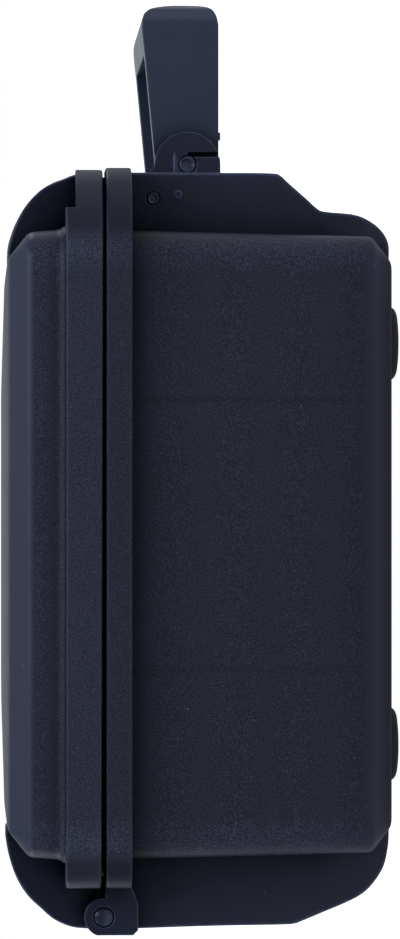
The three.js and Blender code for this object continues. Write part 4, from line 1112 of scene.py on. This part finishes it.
for side_name, side in SIDES.items():
    hook_run = across(side, LATCH_X - LATCH_HALF, LATCH_X + LATCH_HALF)
    bore_run = (hook_run[0] - OVERRUN, hook_run[1] + OVERRUN)
    tongue_run = (
        hook_run[0] + CHEEK_WIDTH + TONGUE_ROOM, hook_run[1] - CHEEK_WIDTH - TONGUE_ROOM
    )
    hook = carved(slab(head_outline, *hook_run), [slab(tongue_outline, *tongue_run)], "UNION")
    hook = carved(
        hook,
        [
            slab(flange_outline, hook_run[0], hook_run[0] + SIDE_FLANGE),
            slab(flange_outline, hook_run[1] - SIDE_FLANGE, hook_run[1]),
        ],
        "UNION",
    )
    hook = carved(
        softened(hook, LATCH_ROUND, 3, 40),
        [
            rod(HOOK_PIN_RADIUS + PIN_ROOM, *bore_run, HOOK_PIN_Y, HOOK_PIN_Z),
            block(
                (hook_run[0] + PANEL_INSET, hook_run[1] - PANEL_INSET),
                (HEAD_FRONT - 1, HEAD_FRONT + PANEL_DEPTH),
                (HEAD_LOW + PANEL_INSET, CLAW_HIGH - HEAD_SLOPE - PANEL_INSET),
                2,
                1,
            ),
        ],
    )
    name = "hook_" + side_name
    piece(name, hook, smooth, name, "smooth_plastic", "latch_" + name)

# The pins: smooth coated rods. The lever's pin ends flush in the wings, the hook's pin in the
# lever's cheeks, and the hinge pin has a domed head that shows in the base's outer eye.
coated = moulded("pin_coating", (0.022, 0.028, 0.05), 0.5, 0.25, (0.003, 0.000004), 2, 1)
HINGE_PIN, DOME = 4.7, 1.3
CENTRE = 0.3
PIN_CHAMFER, DISH_EDGE, DISH_FLOOR, DISH_DEPTH = 0.5, 1.1, 1.4, 0.3
LEVER_PIN_RUN, HOOK_PIN_RUN = (125, 195), (132, 188)
HINGE_PIN_START, HINGE_PIN_DOME_AT = 138, 204.35
DOME_ANGLES, DOME_TIP = (0, 18, 34, 48, 60, 72, 82, 90), 0.05


def pin(name, side, profile, y, z, body):
    made = turned([(side * x, r) for x, r in profile], (0, y, z), "x")
    piece(name, made, coated, body, "pin_plastic", name)


for side_name, side in SIDES.items():
    for kind, radius, (near, far), y, z, body in (
        ("lever_pin_", LEVER_PIN_RADIUS, LEVER_PIN_RUN, LEVER_PIN_Y, LEVER_PIN_Z, "base"),
        ("hook_pin_", HOOK_PIN_RADIUS, HOOK_PIN_RUN, HOOK_PIN_Y, HOOK_PIN_Z, "lever_" + side_name),
    ):
        ends = [
            (near, radius - PIN_CHAMFER), (near + PIN_CHAMFER, radius),
            (far - PIN_CHAMFER, radius), (far, radius - PIN_CHAMFER), (far, radius - DISH_EDGE),
            (far - DISH_DEPTH, radius - DISH_FLOOR), (far - DISH_DEPTH, CENTRE),
        ]
        pin(kind + side_name, side, ends, y, z, body)
    shank = [
        (HINGE_PIN_START, HINGE_PIN - PIN_CHAMFER),
        (HINGE_PIN_START + PIN_CHAMFER, HINGE_PIN),
    ]
    for angle in map(math.radians, DOME_ANGLES):
        dome_radius = max(HINGE_PIN * math.cos(angle), DOME_TIP)
        shank.append((HINGE_PIN_DOME_AT + DOME * math.sin(angle), dome_radius))
    pin("hinge_pin_" + side_name, side, shank, HINGE_Y, HINGE_Z, "base")

# The feet: four round pads of rubber pressed in shallow sockets under the base. Each has a flat
# tread with a shallow groove round it and a flank that curves up to the base.
FOOT_X, FOOT_Y, FOOT_TOP = 185, 98, 6.0
FOOT_PROFILE = (
    (0.25, 0.3), (0.25, 8.2), (0.0, 8.7), (0.0, 12.0), (0.2, 13.2), (0.55, 13.9), (0.35, 14.6),
    (0.8, 15.8), (1.5, 16.9), (2.4, 17.6), (3.5, 17.95), (4.4, 18), (FOOT_TOP, 18), (FOOT_TOP, 0.3),
)
# The rubber's colour is a little paler than black rubber, partly painted light for the shade near
# the floor.
foot_rubber = moulded("foot_rubber", (0.05, 0.05, 0.052), 0.5, 0.5, (0.0008, 0.00005), 2, 1)
for side_name, side in SIDES.items():
    for end_name, end in (("front", -1), ("back", 1)):
        name = "foot_" + end_name + "_" + side_name
        foot = turned(FOOT_PROFILE, (side * FOOT_X, end * FOOT_Y, 0), "z")
        piece(name, foot, foot_rubber, "base", "foot_rubber", name)

# The pressure vent: a round seat moulded on the front wall, a flanged body with a rubber gasket
# under it, a slotted cap over it and a nut inside the case.
VENT_Z, VENT_WALL_Y = 104.4, -151.158
SEAT_RADIUS, SEAT_Y_FRONT = 16, -152.958
STEM_RADIUS, VENT_FLANGE, VENT_CAP = 7, 12.5, 10
STEM_ROOM, VENT_ROOM, VENT_EDGE = 0.4, 0.3, 0.3
GASKET, FLANGE, STEM_LENGTH, STEM_CHAMFER = 1.5, 3.4, 7, 0.8
CAP_SLOTS, SLOT_HALF, SLOT_RUN, SLOT_DEPTHS = 6, 0.8, (5, 11), (-1.2, 0.5)
SEAT_EDGE, FLANGE_EDGE = ((0, 1), (0.35, 0.3), (1, 0)), ((0, 0.9), (0.3, 0.3), (0.9, 0))
INNER_SEAT, INNER_EDGE = 0.9, (0.5, 0.6)
NUT_SIDES, NUT_RINGS = 6, ((0, 11.6), (0.4, 12), (4.4, 12), (5, 11.2))
NUT_BORE_RUN = (-1, 6)
CAP_PROFILE = (
    (2.6, 3.4), (2.4, 3.9), (2.4, 4.6), (2.6, 5.1), (2.6, 7.2), (2.3, 8.6), (1.6, 9.5), (0.8, 9.9),
)
vent_at = (0, 0, VENT_Z)
stem_bore = STEM_RADIUS + STEM_ROOM
inside = VENT_WALL_Y + WALL
inner_face = inside + INNER_SEAT

outer_seat = [(SEAT_Y_FRONT, stem_bore)]
outer_seat += [(SEAT_Y_FRONT + back, SEAT_RADIUS - less) for back, less in SEAT_EDGE]
outer_seat += [(VENT_WALL_Y + OVERRUN, SEAT_RADIUS), (VENT_WALL_Y + OVERRUN, stem_bore)]
inner_seat = [
    (inside - OVERRUN, SEAT_RADIUS), (inside + INNER_EDGE[0], SEAT_RADIUS),
    (inner_face, SEAT_RADIUS - INNER_EDGE[1]), (inner_face, stem_bore),
    (inside - OVERRUN, stem_bore),
]
gasket_back = SEAT_Y_FRONT - VENT_ROOM
gasket_front = gasket_back - GASKET
flange_back = gasket_front - VENT_ROOM
flange_front = flange_back - FLANGE
cap_back = flange_front - VENT_ROOM
gasket = [
    (gasket_front, stem_bore), (gasket_front, VENT_FLANGE - VENT_EDGE),
    (gasket_front + VENT_EDGE, VENT_FLANGE), (gasket_back - VENT_EDGE, VENT_FLANGE),
    (gasket_back, VENT_FLANGE - VENT_EDGE), (gasket_back, stem_bore),
]
stem_end = inner_face + STEM_LENGTH
vent_body = [(flange_front, CENTRE)]
vent_body += [(flange_front + back, VENT_FLANGE - less) for back, less in FLANGE_EDGE]
vent_body += [
    (flange_back - VENT_EDGE, VENT_FLANGE), (flange_back, VENT_FLANGE - VENT_EDGE),
    (flange_back, STEM_RADIUS), (stem_end - STEM_CHAMFER, STEM_RADIUS),
    (stem_end, STEM_RADIUS - STEM_CHAMFER), (stem_end, CENTRE),
]
for name, profile, finish, slot, node in (
    ("vent_seat", outer_seat, grained, "shell_plastic", "base_shell"),
    ("vent_inner_seat", inner_seat, grained, "shell_plastic", "base_shell"),
    ("vent_gasket_ring", gasket, rubber, "seal_rubber", "vent_gasket"),
    ("vent_body_turned", vent_body, smooth, "smooth_plastic", "vent_body"),
):
    piece(name, turned(profile, vent_at, "y"), finish, "base", slot, node)
cap_slots = []
for index in range(CAP_SLOTS):
    slot_at = 2 * math.pi * index / CAP_SLOTS
    spoke_y = [cap_back + depth for depth in SLOT_DEPTHS]
    spoke = block((-SLOT_HALF, SLOT_HALF), spoke_y, SLOT_RUN)
    bmesh.ops.rotate(
        spoke, verts=spoke.verts, cent=to_frame(0, 0, 0), matrix=Matrix.Rotation(slot_at, 3, "Y")
    )
    bmesh.ops.translate(spoke, verts=spoke.verts, vec=(0, 0, VENT_Z * MILLIMETRE))
    cap_slots.append(spoke)
cap = [(cap_back - CAP_PROFILE[0][0], CENTRE)]
cap += [(cap_back - out, radius) for out, radius in CAP_PROFILE]
cap += [(cap_back, VENT_CAP), (cap_back, CENTRE)]
cap = carved(turned(cap, vent_at, "y"), cap_slots)
piece("vent_cap_turned", cap, smooth, "base", "smooth_plastic", "vent_cap")
nut_front = inner_face + VENT_ROOM
nut_turns = [2 * math.pi * i / NUT_SIDES for i in range(NUT_SIDES)]
nut_rings = [
    [(r * math.sin(a), nut_front + back, VENT_Z + r * math.cos(a)) for a in nut_turns]
    for back, r in NUT_RINGS
]
nut_bore = [(nut_front + place, STEM_RADIUS + VENT_ROOM) for place in NUT_BORE_RUN]
nut = carved(lofted(nut_rings), [turned(nut_bore, vent_at, "y")])
piece("vent_nut_hex", nut, smooth, "base", "smooth_plastic", "vent_nut")
